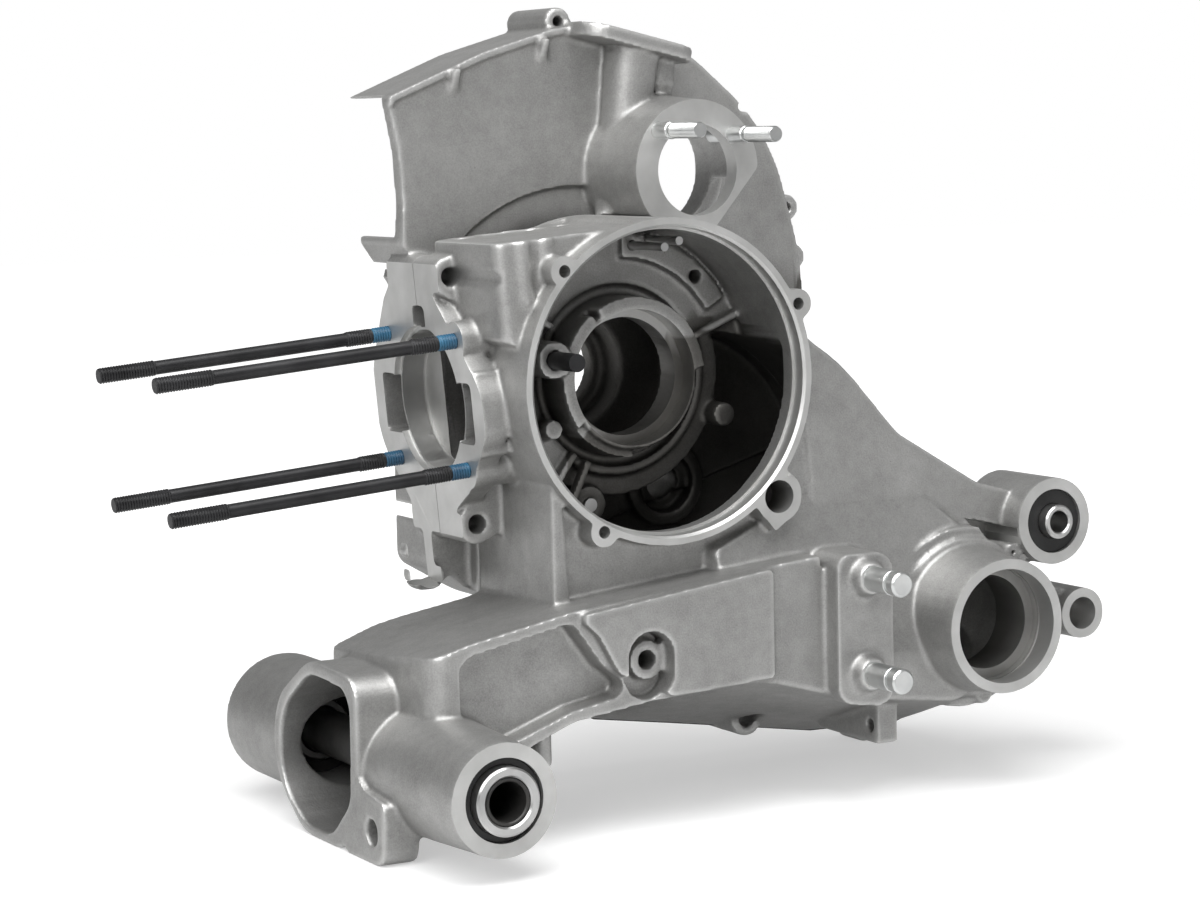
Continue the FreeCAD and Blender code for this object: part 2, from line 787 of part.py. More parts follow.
def stud_holes():
    holes = [
        rod_x(y, z, STUD_THREAD_R + SEAT_GAP, SEAT_X - CLEAR, SEAT_X + STUD_SEAT + SEAT_GAP)
        for _, y, z in stud_spots()
    ]
    return [tilt(hole) for hole in holes]


def case_lugs(y0, y1):
    lugs = []
    upper = (LUG_UPPER_X, LUG_UPPER_Z, LUG_UPPER_ROOT)
    lower = (LUG_LOWER_X, LUG_LOWER_Z, LUG_LOWER_ROOT)
    for x, z, root in (upper, lower):
        along, rise, wider = root
        lugs.append(strap((x, z), LUG_R, (x + along, z + rise), LUG_R + wider, y0, y1))
    return lugs


def joint_holes():
    spots = [(LUG_UPPER_X, LUG_UPPER_Z), (LUG_LOWER_X, LUG_LOWER_Z), (SPLIT_LUG_X, SPLIT_LUG_Z)]
    holes = [rod(x, z, LUG_BOLT_R, PIN_PAD_Y, RIM_Y + CLEAR) for x, z in spots]
    holes.append(rod(ARM_BOLT_X, ARM_BOLT_Z, LUG_BOLT_R, ARM_PAD_Y - CLEAR, RIM_Y + CLEAR))
    return holes


def carb_pad():
    pad = block(CARB_X[0], CARB_X[1], CARB_Y[0], CARB_Y[1], CARB_Z[0], CARB_Z[1])
    parts = [pad.makeFillet(CARB_CORNER_R, [e for e in pad.Edges if upright(e)])]
    for x in CARB_RIBS_X:
        rib = rod_z(x, CARB_Y[0] + CARB_RIB_R / 2, CARB_RIB_R, CARB_RIB_Z, CARB_Z[1])
        foot = vec(x, CARB_Y[0] + CARB_RIB_R / 2, CARB_RIB_Z - CARB_RIB_TOE)
        toe = Part.makeCone(CARB_RIB_TIP_R, CARB_RIB_R, CARB_RIB_TOE, foot)
        parts += [rib, toe]
    under = CARB_Z[0] + CARB_SLOPE_TOP - WALL
    slope = block(CARB_X[0] - CARB_Z[0], CARB_X[1], -REACH, REACH, -REACH, under)
    slope.rotate(vec(CARB_X[0], 0, CARB_Z[0] + CARB_SLOPE_TOP), vec(0, 1, 0), CARB_SLOPE)
    return tilt(join(parts).cut(slope))


def upright(edge):
    ends = [v.Point for v in edge.Vertexes]
    return len(ends) == 2 and abs(ends[0].z - ends[1].z) > CLEAR and abs(ends[0].x - ends[1].x) < SMALL


def carb_cuts():
    half_x, half_y = CARB_PORT_HALF
    port = block(
        CARB_PORT_X - half_x, CARB_PORT_X + half_x, CARB_PORT_Y - half_y, CARB_PORT_Y + half_y,
        CARB_Z[0], CARB_Z[1] + CLEAR,
    )
    cuts = [port.makeFillet(half_y - 1.0, [e for e in port.Edges if upright(e)])]
    cuts.append(block(CARB_X[0], CARB_X[1], CARB_Y[0], CARB_Y[1], CARB_Z[1], CARB_Z[1] + CARB_FACING))
    for side in (-1, 1):
        x = CARB_PORT_X + side * CARB_SCREW_SPREAD
        cuts.append(rod_z(x, CARB_PORT_Y, CARB_SCREW_R, CARB_Z[1] - CARB_SCREW_DEPTH, CARB_Z[1] + CLEAR))
    return [tilt(cut) for cut in cuts]


def clutch_chamber():
    register = rod(0, 0, CLUTCH_BORE_R, FACE_Y - CLEAR, FACE_Y + CLUTCH_REGISTER)
    return join([register, rod(0, 0, CHAMBER_R, FACE_Y, FLOOR_Y)])


def chamber_furniture():
    # what stands on the chamber floor; it is added after the chamber has been bored
    root = FLOOR_Y + CLEAR
    parts = [sector(SKIRT_BORE_R, SKIRT_R, span, SKIRT_Y, root) for span in SKIRT_SPANS]
    parts.append(sector(SKIRT_BORE_R, SKIRT_R, SKIRT_LOW_SPAN, SKIRT_LOW_Y, root))
    parts.append(tube(0, 0, SKIRT_R, SKIRT_BORE_R, BEARING_DEPTH_Y, root))
    parts.append(rod(CASE_STUD_X, CASE_STUD_Z, CASE_STUD_BOSS_R, CASE_STUD_BOSS_Y, root))
    parts.append(rod(POST_X, POST_Z, POST_R, POST_Y, root))
    boss_end = FLOOR_Y + GALLERY_BOSS_DEPTH
    parts.append(rod(GALLERY_PLUG_X, GALLERY_PLUG_Z, GALLERY_BOSS_R, FLOOR_Y, boss_end))
    lug_x, lug_z = polar(CRANK_R + CRANK_WALL + SPRING_LUG_OUT, SPRING_LUG_ANGLE)
    parts.append(rod(lug_x, lug_z, SPRING_LUG_R, SPRING_LUG_Y, GEAR_STEP_Y + 2.0))
    parts.append(sector(ARC_PAD_IN_R, ARC_PAD_OUT_R, ARC_PAD_SPAN, FLOOR_Y - ARC_PAD_RISE, root))
    for angle in CHAMBER_RIB_ANGLES:
        half = CHAMBER_RIB_W / 2
        rib = block(TROUGH_R, CLUTCH_BORE_R + CLEAR, FLOOR_Y - CHAMBER_RIB_RISE, root, -half, half)
        rib.rotate(vec(0, 0, 0), vec(0, 1, 0), -angle)
        parts.append(rib)
    return parts


def gear_space(y0, y1, inner_r):
    space = rod(GEAR_X, GEAR_Z, GEAR_R, y0, y1)
    return space.cut(rod(0, 0, inner_r, y0 - CLEAR, y1 + CLEAR))


def bearing_bores():
    parts = [
        rod(0, 0, SKIRT_BORE_R, SKIRT_Y - CLEAR, BEARING_DEPTH_Y),
        cone(0, 0, SKIRT_BORE_R, BEARING_LIP_R, BEARING_DEPTH_Y, BEARING_DEPTH_Y + 3.0),
        rod(0, 0, BEARING_LIP_R, BEARING_DEPTH_Y, CRANK_NEAR_Y + CLEAR),
        rod(0, 0, CRANK_R, CRANK_NEAR_Y, CRANK_FAR_Y),
        rod(0, 0, MAIN_SEAT_R, CRANK_FAR_Y - CLEAR, MAIN_SEAT_Y),
        rod(0, 0, SEAL_R, MAIN_SEAT_Y - CLEAR, RIM_Y + CLEAR),
    ]
    return join(parts)


def front_slope():
    # the gearbox front leans back towards the top
    lean = math.degrees(math.atan2(FRONT_SLOPE_TOP - BODY_FRONT_Y, FRONT_SLOPE_TOP_Z - FRONT_SLOPE_FOOT_Z))
    foot = FRONT_SLOPE_FOOT_Z
    wedge = block(0.0, REACH, BODY_FRONT_Y - REACH, BODY_FRONT_Y, foot, foot + REACH)
    wedge.rotate(vec(0, BODY_FRONT_Y, FRONT_SLOPE_FOOT_Z), vec(1, 0, 0), -lean)
    return wedge


def swing_arm():
    far_side = [(x, z - drop, radius) for (x, z, radius), drop in zip(ARM, ARM_FAR_DROP)]
    arm = tapered(ARM, ARM_Y[0], far_side, ARM_Y[1]).common(slab_z(ARM_PLAN, FOOT_Z, 0.0))
    pad = slab(ARM_PAD, ARM_PAD_Y, BODY_FRONT_Y + CLEAR)
    arm = join([arm, pad])
    web = slab(ARM_WEB, ARM_Y[0] - CLEAR, ARM_Y[0] + ARM_WEB_DEPTH)
    px, pz, half_x, half_z = ARM_POCKET
    reach = half_z - half_x
    pocket = strap((px, pz + reach), half_x, (px, pz - reach), half_x, ARM_PAD_Y - CLEAR, ARM_POCKET_Y)
    arm = arm.cut([web, pocket])
    boss = rod(ARM_BOLT_X, ARM_BOLT_Z, ARM_BOLT_BOSS_R, ARM_BOLT_BOSS_Y, JOINT_NEAR_Y)
    stub_x, stub_y, stub_r, stub_z = ARM_STUB
    stub = rod_z(stub_x, stub_y, stub_r, stub_z, ARM_STUB_TOP_Z)
    return arm, [boss, stub]


def arm_hollow():
    # the arm is open underneath, with cross ribs
    lowered = [(x, z - ARM_HOLLOW_Z, r) for x, z, r in ARM[1:4]]
    left, right = ARM_HOLLOW_X
    roof = [(right, lowered[0][1] - ARM_HOLLOW_DROP, ARM_HOLLOW_Z), (left, lowered[2][1], ARM_HOLLOW_Z)]
    floor = [(left, FOOT_Z - WALL, CLEAR), (right, FOOT_Z - WALL, CLEAR)]
    space = slab(roof + floor, ARM_HOLLOW_Y[0], ARM_HOLLOW_Y[1])
    pitch = (right - left) / (ARM_RIBS + 1)
    half = ARM_RIB_W / 2
    middles = [left + pitch * n for n in range(1, ARM_RIBS + 1)]
    ribs = [block(x - half, x + half, -REACH, REACH, -REACH, 0.0) for x in middles]
    return space.cut(ribs)


def pivot_housing():
    near = cone(PIVOT_X, PIVOT_Z, PIVOT_NEAR_R, PIVOT_NEAR_ROOT_R, PIVOT_NEAR_Y, PIVOT_NEAR_ROOT_Y)
    far = rod(PIVOT_X, PIVOT_Z, PIVOT_FAR_R, PIVOT_FAR_ROOT_Y, PIVOT_FAR_Y)
    collar = slab_x(COLLAR, COLLAR_X[0], COLLAR_X[1])
    foot = slab_x(FOOT_LUG, FOOT_X[0], FOOT_X[1])
    return [near, far, collar, foot]


def pivot_cuts():
    window = slab_x(COLLAR_WINDOW, COLLAR_X[0] - CLEAR, COLLAR_X[1] - COLLAR_WALL)
    near = rod(PIVOT_X, PIVOT_Z, PIVOT_NEAR_BORE_R, PIVOT_NEAR_Y - CLEAR, COLLAR_MID_Y)
    far = rod(PIVOT_X, PIVOT_Z, PIVOT_FAR_BORE_R, COLLAR_MID_Y, PIVOT_FAR_Y + CLEAR)
    hole = rod_x(FOOT_HOLE_Y, FOOT_HOLE_Z, FOOT_HOLE_R, FOOT_X[0] - CLEAR, FOOT_X[1] + CLEAR)
    return [window, near, far, hole]


def rear_hub():
    parts = [
        cone(AXLE_X, AXLE_Z, HUB_FACE_R, HUB_ROOT_R, HUB_FACE_Y, HUB_ROOT_Y),
        rod(AXLE_X, AXLE_Z, HUB_RING_R, HUB_ROOT_Y, HUB_ROOT_Y + HUB_RING_W),
        rod(AXLE_X, AXLE_Z, HUB_BODY_R, HUB_ROOT_Y + 3.0, JOINT_NEAR_Y),
    ]
    for angle in HUB_EAR_ANGLES:
        dx, dz = polar(HUB_EAR_ORBIT, angle)
        parts.append(rod(AXLE_X + dx, AXLE_Z + dz, HUB_EAR_R, HUB_ROOT_Y + CLEAR, HUB_ROOT_Y + HUB_EAR_BACK))
    return parts


def hub_cuts():
    parts = [
        rod(AXLE_X, AXLE_Z, HUB_SEAL_R, HUB_FACE_Y - CLEAR, HUB_SEAL_Y),
        rod(AXLE_X, AXLE_Z, HUB_GROOVE_R, HUB_GROOVE_Y, HUB_GROOVE_Y + HUB_GROOVE_W),
        rod(AXLE_X, AXLE_Z, HUB_BEARING_R, HUB_SEAL_Y - CLEAR, AXLE_CAVITY_Y + CLEAR),
        rod(AXLE_X, AXLE_Z, AXLE_CAVITY_R, AXLE_CAVITY_Y, SPLIT_Y + CLEAR),
    ]
    for angle in HUB_EAR_ANGLES:
        dx, dz = polar(HUB_EAR_ORBIT, angle)
        end_y = HUB_ROOT_Y + HUB_EAR_DEPTH
        parts.append(rod(AXLE_X + dx, AXLE_Z + dz, HUB_EAR_HOLE_R, HUB_ROOT_Y - CLEAR, end_y))
    return parts


def clutch_half():
    solid = [
        rod(0, 0, CLUTCH_BORE_R + CLUTCH_RING_W, FACE_Y, JOINT_NEAR_Y),
        rod(FILLER_X, FILLER_Z, FILLER_BOSS_R, FACE_Y, FLOOR_Y),
        slab(PLINTH, PLINTH_Y, JOINT_NEAR_Y),
        slab(PLINTH_RIB, PLINTH_RIB_Y, PLINTH_Y + CLEAR),
        rod(GEAR_X, GEAR_Z, GEAR_R + GEAR_WALL, GEAR_HOUSE_Y, JOINT_NEAR_Y),
        rod(SHOCK_X, SHOCK_Z, SHOCK_R, SHOCK_Y[0], SHOCK_Y[1]),
        slab(SHOCK_ARM, SHOCK_ARM_Y[0], SHOCK_ARM_Y[1]),
        rod(EXHAUST_X, EXHAUST_Z, EXHAUST_R, EXHAUST_Y[0], EXHAUST_Y[1]),
        strap((EXHAUST_X, EXHAUST_Z), EXHAUST_R - CLEAR, (AXLE_X, AXLE_Z), EXHAUST_NECK_R, *EXHAUST_NECK_Y),
        block(BAR_X[0], BAR_X[1], BAR_Y[0], BAR_Y[1], BAR_Z[0], BAR_Z[1]),
        rod(SPLIT_LUG_X, SPLIT_LUG_Z, SPLIT_LUG_R, SPLIT_LUG_Y, JOINT_NEAR_Y),
        carb_pad(),
    ]
    solid.append(join([cylinder_seat()] + case_lugs(LUG_NEAR_Y, SPLIT_Y + CLEAR)).common(half_space(True)))
    for angle in COVER_BOSS_ANGLES:
        x, z = polar(COVER_BOSS_ORBIT, angle)
        solid.append(rod(x, z, COVER_BOSS_R, FACE_Y, COVER_BOSS_DEPTH))
        solid.append(cone(x, z, COVER_BOSS_R, CLEAR, COVER_BOSS_DEPTH, COVER_BOSS_DEPTH + COVER_BOSS_TOE))
    toe = Part.makePolygon(
        [
            vec(FILLER_X - FILLER_ROOT, FACE_Y, FILLER_Z - FILLER_ROOT),
            vec(FILLER_TOE[0], FACE_Y, FILLER_TOE[1]),
            vec(FILLER_HEEL[0], FACE_Y, FILLER_HEEL[1]),
            vec(FILLER_X, FACE_Y, FILLER_Z),
            vec(FILLER_X - FILLER_ROOT, FACE_Y, FILLER_Z - FILLER_ROOT),
        ]
    )
    solid.append(Part.Face(toe).extrude(vec(0, PLINTH_Y + CLEAR, 0)))
    gearbox = tapered(BODY_FRONT, BODY_FRONT_Y, BODY_SPLIT, JOINT_NEAR_Y).cut(front_slope())
    solid.append(gearbox)
    arm, arm_bosses = swing_arm()
    solid += [arm] + pivot_housing() + rear_hub()
    solid.append(slab(PIN_PAD_CORNERS, PIN_PAD_Y, AXLE_CAVITY_Y))
    for z in (PIN_UPPER_Z, PIN_LOWER_Z):
        solid.append(cone(PIN_X, z, PIN_BOSS_TIP_R, PIN_BOSS_R, PIN_BOSS_Y, PIN_PAD_Y + CLEAR))
    body = join(solid)

    cuts = [clutch_chamber(), gear_space(GEAR_FRONT_Y, GEAR_STEP_Y, TROUGH_R + WALL)]
    cuts.append(gear_space(GEAR_STEP_Y - CLEAR, SPLIT_Y + CLEAR, CRANK_R + CRANK_WALL))
    cuts.append(box_cavity())
    cuts.append(tube(0, 0, TROUGH_R, SKIRT_R, FLOOR_Y - CLEAR, FLOOR_Y + TROUGH_DEPTH))
    hollow = slab(PLINTH_HOLLOW, PLINTH_HOLLOW_Y, SPLIT_Y + CLEAR)
    drum = rod(0, 0, CLUTCH_BORE_R + CLUTCH_RING_W, 0, RIM_Y)
    hollow = hollow.cut([drum, rod(GEAR_X, GEAR_Z, GEAR_R + GEAR_WALL, 0, RIM_Y)])
    cuts.append(hollow)
    pocket = slab(SHOCK_POCKET, BODY_FRONT_Y, SHOCK_POCKET_Y)
    cuts.append(pocket.cut(rod(SHOCK_X, SHOCK_Z, SHOCK_R, BODY_FRONT_Y - CLEAR, SHOCK_POCKET_Y + CLEAR)))
    cuts.append(arm_hollow())
    body = body.cut(cuts)
    body = body.fuse(chamber_furniture() + arm_bosses)

    holes = [bearing_bores(), cylinder_mouth()]
    holes += stud_holes() + joint_holes() + carb_cuts() + pivot_cuts() + hub_cuts()
    for angle in COVER_BOSS_ANGLES:
        x, z = polar(COVER_BOSS_ORBIT, angle)
        holes.append(rod(x, z, COVER_SCREW_R, FACE_Y - CLEAR, COVER_SCREW_DEPTH))
    holes += [
        rod(FILLER_X, FILLER_Z, FILLER_BORE_R, FACE_Y - CLEAR, FILLER_DEPTH),
        rod(SHOCK_X, SHOCK_Z, SHOCK_BORE_R, SHOCK_Y[0] - CLEAR, SHOCK_Y[1] + CLEAR),
        rod(EXHAUST_X, EXHAUST_Z, EXHAUST_BORE_R, EXHAUST_Y[0] - CLEAR, EXHAUST_Y[1] + CLEAR),
        rod_x(BAR_HOLE_Y, BAR_HOLE_Z, BAR_HOLE_R, BAR_X[0] - CLEAR, BAR_X[0] + BAR_HOLE_DEPTH),
        rod(
            CASE_STUD_X, CASE_STUD_Z, CASE_STUD_R + SEAT_GAP,
            CASE_STUD_BOSS_Y - CLEAR, CASE_STUD_BOSS_Y + CASE_STUD_SEAT,
        ),
        rod(
            GALLERY_PLUG_X, GALLERY_PLUG_Z, GALLERY_PLUG_R + SEAT_GAP,
            FLOOR_Y - CHAMBER_RIB_RISE - CLEAR, FLOOR_Y + GALLERY_PLUG_SEAT,
        ),
    ]
    for z in (PIN_UPPER_Z, PIN_LOWER_Z):
        end_y = PIN_BOSS_Y + PIN_SEAT + SEAT_GAP
        holes.append(rod(PIN_X, z, PIN_ROOT_R + SEAT_GAP, PIN_BOSS_Y - CLEAR, end_y))
    pad_y = FLOOR_Y - ARC_PAD_RISE - CLEAR
    for x, z in GUIDE_PIN_SPOTS:
        holes.append(rod(x, z, GUIDE_PIN_R + SEAT_GAP, pad_y, FLOOR_Y + GUIDE_PIN_SEAT))
    hx, hz = polar((ARC_PAD_IN_R + ARC_PAD_OUT_R) / 2, ARC_PAD_HOLE_ANGLE)
    holes.append(rod(hx, hz, ARC_PAD_HOLE_R, pad_y, FLOOR_Y + ARC_PAD_HOLE_DEPTH))
    for x, z in DOWEL_SPOTS:
        holes.append(rod(x, z, DOWEL_R + SEAT_GAP, SPLIT_Y - DOWEL_LENGTH / 2, SPLIT_Y + CLEAR))
    return body.cut(holes)


def fan_shell():
    plate = slab(FAN_OUTLINE, WALL_Y, RIM_Y)
    inner = slab(grown(FAN_OUTLINE, -FAN_WALL), WALL_Y + FAN_WALL, RIM_Y + CLEAR)
    return plate, inner


def tunnel():
    up = vec(0, 0, 1)
    top = Part.makeCircle(TUNNEL_TOP_R, vec(TUNNEL_TOP_X, TUNNEL_Y, PLATE_TOP_Z - PLATE_THICKNESS), up)
    foot = Part.makeCircle(TUNNEL_FOOT_R, vec(TUNNEL_FOOT_X, TUNNEL_Y, TUNNEL_FOOT_Z), up)
    column = Part.makeLoft([Part.Wire(foot), Part.Wire(top)], True, True)
    return column.cut(rod(0, 0, CLUTCH_BORE_R + CLUTCH_RING_W + CLEAR, FACE_Y, JOINT_FAR_Y))


def tunnel_plate():
    length, width = PLATE_HALF_LENGTH, PLATE_HALF_WIDTH
    corners = [
        (-length, -width, PLATE_CORNER_R), (length, -width, PLATE_CORNER_R),
        (length, width, PLATE_CORNER_R), (-length, width, PLATE_CORNER_R),
    ]
    plate = slab_z(corners, -PLATE_THICKNESS, 0.0)
    plate.rotate(vec(0, 0, 0), vec(0, 1, 0), PLATE_ANGLE)
    plate.translate(vec(PLATE_MID_X, PLATE_MID_Y, PLATE_TOP_Z))
    return plate


def gusset(x, z):
    corners = [
        vec(x, WALL_Y - GUSSET_REACH, z),
        vec(x, WALL_Y + CLEAR, z),
        vec(x, WALL_Y + CLEAR, z - GUSSET_DROP),
        vec(x, WALL_Y - CLEAR, z - GUSSET_DROP),
    ]
    return Part.Face(Part.makePolygon(corners + corners[:1])).extrude(vec(GUSSET_W, 0, 0))


def starter_seat():
    # clears the clutch drum of the other half
    seat = cone(STARTER_X, STARTER_Z, STARTER_FACE_R, STARTER_ROOT_R, STARTER_FACE_Y, WALL_Y + CLEAR)
    return seat.cut(rod(0, 0, CLUTCH_BORE_R + CLUTCH_RING_W + CLEAR, FACE_Y, JOINT_FAR_Y))


def fan_half():
    shell, fan_space = fan_shell()
    solid = [
        shell,
        rod(0, 0, CRANK_R + CRANK_WALL, JOINT_FAR_Y, WALL_Y + CLEAR),
        rod(0, 0, CLUTCH_BORE_R + CLUTCH_RING_W, JOINT_FAR_Y, SPLIT_Y + WALL),
        slab(PLINTH, JOINT_FAR_Y, WALL_Y + CLEAR),
        starter_seat(),
        slab(BODY_SPLIT, JOINT_FAR_Y, GEAR_BACK_Y),
        rod(GEAR_X, GEAR_Z, GEAR_R + GEAR_WALL, JOINT_FAR_Y, WALL_Y + CLEAR),
        rod(SPLIT_LUG_X, SPLIT_LUG_Z, SPLIT_LUG_R, JOINT_FAR_Y, SPLIT_Y + SPLIT_LUG_FAR),
        strap(
            (ARM_BOLT_X, ARM_BOLT_Z), ARM_BOLT_BOSS_R, (ARM_BOLT_X, ARM_BOLT_ROOT_Z), ARM_BOLT_BOSS_R,
            JOINT_FAR_Y, WALL_Y + CLEAR,
        ),
        slab(HEEL, HEEL_Y[0], HEEL_Y[1]),
        slab(SELECTOR_PAD, GEAR_BACK_Y - CLEAR, GEAR_BACK_Y + SELECTOR_RISE),
        rod(GEAR_X, GEAR_Z, KICK_BOSS_R, WALL_Y, KICK_BOSS_Y),
        slab(BRACKET, BRACKET_Y[0], BRACKET_Y[1]),
        rod(BRACKET_HOLE_X, BRACKET_HOLE_Z, BRACKET_BOSS_R, BRACKET_Y[0] - BRACKET_BOSS_OUT, BRACKET_Y[1]),
        tunnel(),
        tunnel_plate(),
    ]
    solid += [gusset(x, z) for x, z in GUSSET_SPOTS]
    step = slab(grown(FAN_OUTLINE, -CLEAR), WALL_Y - FAN_STEP, WALL_Y + CLEAR)
    step = step.cut(rod(0, 0, FAN_STEP_R, FACE_Y, RIM_Y))
    solid.append(step.common(block(LIP_X[0], STARTER_X, FACE_Y, RIM_Y, FAN_STEP_Z, REACH)))
    for x, z in COVER_LUG_SPOTS:
        orbit = math.hypot(x, z)
        root = (x - x / orbit * COVER_LUG_REACH, z - z / orbit * COVER_LUG_REACH)
        solid.append(strap((x, z), COVER_LUG_R, root, COVER_LUG_R, RIM_Y - COVER_LUG_DEPTH, RIM_Y))
    solid.append(rod(COVER_LUG_TOP[0], COVER_LUG_TOP[1], COVER_LUG_R, WALL_Y + CLEAR, RIM_Y))
    lip_inside = slab(grown(FAN_OUTLINE, -LIP), LIP_Y - CLEAR, WALL_Y + FAN_WALL)
    lip = slab(FAN_OUTLINE, LIP_Y, WALL_Y + CLEAR).cut(lip_inside)
    solid.append(lip.common(block(LIP_X[0], LIP_X[1], 0.0, RIM_Y, LIP_FLOOR_Z, REACH)))
    shared = join([cylinder_seat()] + case_lugs(SPLIT_Y - CLEAR, LUG_FAR_Y)).common(half_space(False))
    body = join(solid + [shared])

    fan_space = fan_space.cut([shared, rod(0, 0, FAN_HUB_R, WALL_Y, FAN_HUB_Y)])
    fan_space = fan_space.cut(rod(GEAR_X, GEAR_Z, KICK_BOSS_R, WALL_Y, KICK_BOSS_Y))
    outlet = block(-REACH, FAN_OUTLET_X, WALL_Y + FAN_WALL, RIM_Y + CLEAR, FAN_OUTLET_Z, FAN_OUTLET_TOP_Z)
    cuts = [fan_space, outlet]
    cuts.append(gear_space(SPLIT_Y - CLEAR, WALL_Y - WALL, CRANK_R + CRANK_WALL))
    cuts.append(box_cavity())
    cuts.append(rod(AXLE_X, AXLE_Z, AXLE_CAVITY_R, SPLIT_Y - CLEAR, GEAR_BACK_Y - WALL))
    body = body.cut(cuts)
    body = body.fuse([tube(GEAR_X, GEAR_Z, SHAFT_BOSS_R, SHAFT_SEAT_R, SPLIT_Y + 6.0, WALL_Y + CLEAR)])

    cut_a, cut_b = STARTER_CUT
    along = math.degrees(math.atan2(cut_a[1] - cut_b[1], cut_a[0] - cut_b[0]))
    flat_y = (STARTER_FACE_Y - CLEAR, STARTER_FACE_Y + STARTER_CUT_DEPTH)
    flat = block(-REACH, REACH, flat_y[0], flat_y[1], -STARTER_FACE_R, 0.0)
    flat.rotate(vec(0, 0, 0), vec(0, 1, 0), -along)
    flat.translate(vec(cut_b[0], 0, cut_b[1]))
    holes = [bearing_bores(), cylinder_mouth(), flat] + stud_holes() + joint_holes()
    holes += [
        rod(STARTER_X, STARTER_Z, STARTER_BORE_R, STARTER_FACE_Y - CLEAR, RIM_Y + CLEAR),
        rod(STARTER_X, STARTER_Z, STARTER_INSIDE_R, STARTER_FACE_Y + STARTER_LAND, RIM_Y + CLEAR),
        rod(GEAR_X, GEAR_Z, SHAFT_BORE_R, SPLIT_Y, KICK_BOSS_Y + CLEAR),
        rod(AXLE_X, AXLE_Z, SELECTOR_BORE_R, SPLIT_Y, GEAR_BACK_Y + SELECTOR_RISE + CLEAR),
        rod(
            BRACKET_HOLE_X, BRACKET_HOLE_Z, BRACKET_HOLE_R,
            BRACKET_Y[0] - BRACKET_BOSS_OUT - CLEAR, BRACKET_Y[1] + CLEAR,
        ),
    ]
    for x, z in STARTER_STUD_SPOTS:
        end_y = STARTER_FACE_Y + STARTER_STUD_SEAT + SEAT_GAP
        holes.append(rod(x, z, STARTER_STUD_R + SEAT_GAP, STARTER_FACE_Y - CLEAR, end_y))
    for x, z in COVER_LUG_SPOTS + (COVER_LUG_TOP,):
        holes.append(rod(x, z, COVER_LUG_BORE_R, WALL_Y - CLEAR, RIM_Y + CLEAR))
    for x, z in DOWEL_SPOTS:
        holes.append(rod(x, z, DOWEL_R + SEAT_GAP, SPLIT_Y - CLEAR, SPLIT_Y + DOWEL_LENGTH / 2))
    # the bore keeps to the middle of the tunnel, from its foot to its top
    along = vec(TUNNEL_TOP_X - TUNNEL_FOOT_X, 0, PLATE_TOP_Z - PLATE_THICKNESS - TUNNEL_FOOT_Z)
    along.normalize()
    top = vec(TUNNEL_TOP_X, TUNNEL_Y, PLATE_TOP_Z - PLATE_THICKNESS)
    bore_top = top + along * (TUNNEL_TOP_R + CLEAR)
    holes.append(Part.makeCylinder(TUNNEL_BORE_R, TUNNEL_BORE_DEPTH, bore_top, along * -1.0))
    holes.append(tube(0, 0, STATOR_RECESS[1], STATOR_RECESS[0], STATOR_RECESS_Y, RIM_Y))
    for n in range(3):
        x, z = polar(STATOR_ORBIT, 90.0 + 120.0 * n)
        holes.append(rod(x, z, STATOR_SCREW_R, FAN_HUB_Y - STATOR_SCREW_DEPTH, FAN_HUB_Y + CLEAR))
    return body.cut(holes)


def cylinder_stud(y, z):
    root_x = SEAT_X + STUD_SEAT
    tip_x = SEAT_X - STUD_LENGTH
    shank = rod_x(y, z, STUD_SHANK_R, tip_x + STUD_TOP_THREAD - CLEAR, root_x - STUD_ROOT_THREAD)
    tip = rod_x(y, z, STUD_THREAD_R, tip_x + STUD_CHAMFER, tip_x + STUD_TOP_THREAD)
    tip_r = STUD_THREAD_R - STUD_CHAMFER
    end = Part.makeCone(tip_r, STUD_THREAD_R, STUD_CHAMFER, vec(tip_x, y, z), vec(1, 0, 0))
    root = rod_x(y, z, STUD_THREAD_R, SEAT_X - STUD_ROOT_THREAD, root_x)
    return tilt(join([shank, tip, end, root]))


def starter_stud(x, z):
    collar_y = STARTER_FACE_Y - STARTER_STUD_COLLAR
    root = rod(x, z, STARTER_STUD_R, collar_y, STARTER_FACE_Y + STARTER_STUD_SEAT)
    neck_y = collar_y - STARTER_STUD_NECK_W
    tip_y = STARTER_STUD_TIP_Y + CLEAR
    neck = rod(x, z, STARTER_STUD_NECK_R, neck_y, collar_y + CLEAR)
    thread = rod(x, z, STARTER_STUD_THREAD_R, tip_y, neck_y)
    tip = cone(x, z, STARTER_STUD_TIP_R, STARTER_STUD_THREAD_R, STARTER_STUD_TIP_Y, tip_y)
    return join([root, neck, thread, tip])


def brake_pin(z):
    head_end = PIN_TIP_Y + PIN_HEAD_W
    parts = [
        cone(PIN_X, z, PIN_R - PIN_CHAMFER, PIN_R, PIN_TIP_Y, PIN_TIP_Y + PIN_CHAMFER),
        rod(PIN_X, z, PIN_R, PIN_TIP_Y + PIN_CHAMFER, head_end),
        rod(PIN_X, z, PIN_NECK_R, head_end, head_end + PIN_NECK_W),
        rod(PIN_X, z, PIN_R, head_end + PIN_NECK_W, PIN_BOSS_Y),
        rod(PIN_X, z, PIN_ROOT_R, PIN_BOSS_Y - CLEAR, PIN_BOSS_Y + PIN_SEAT),
    ]
    return join(parts)


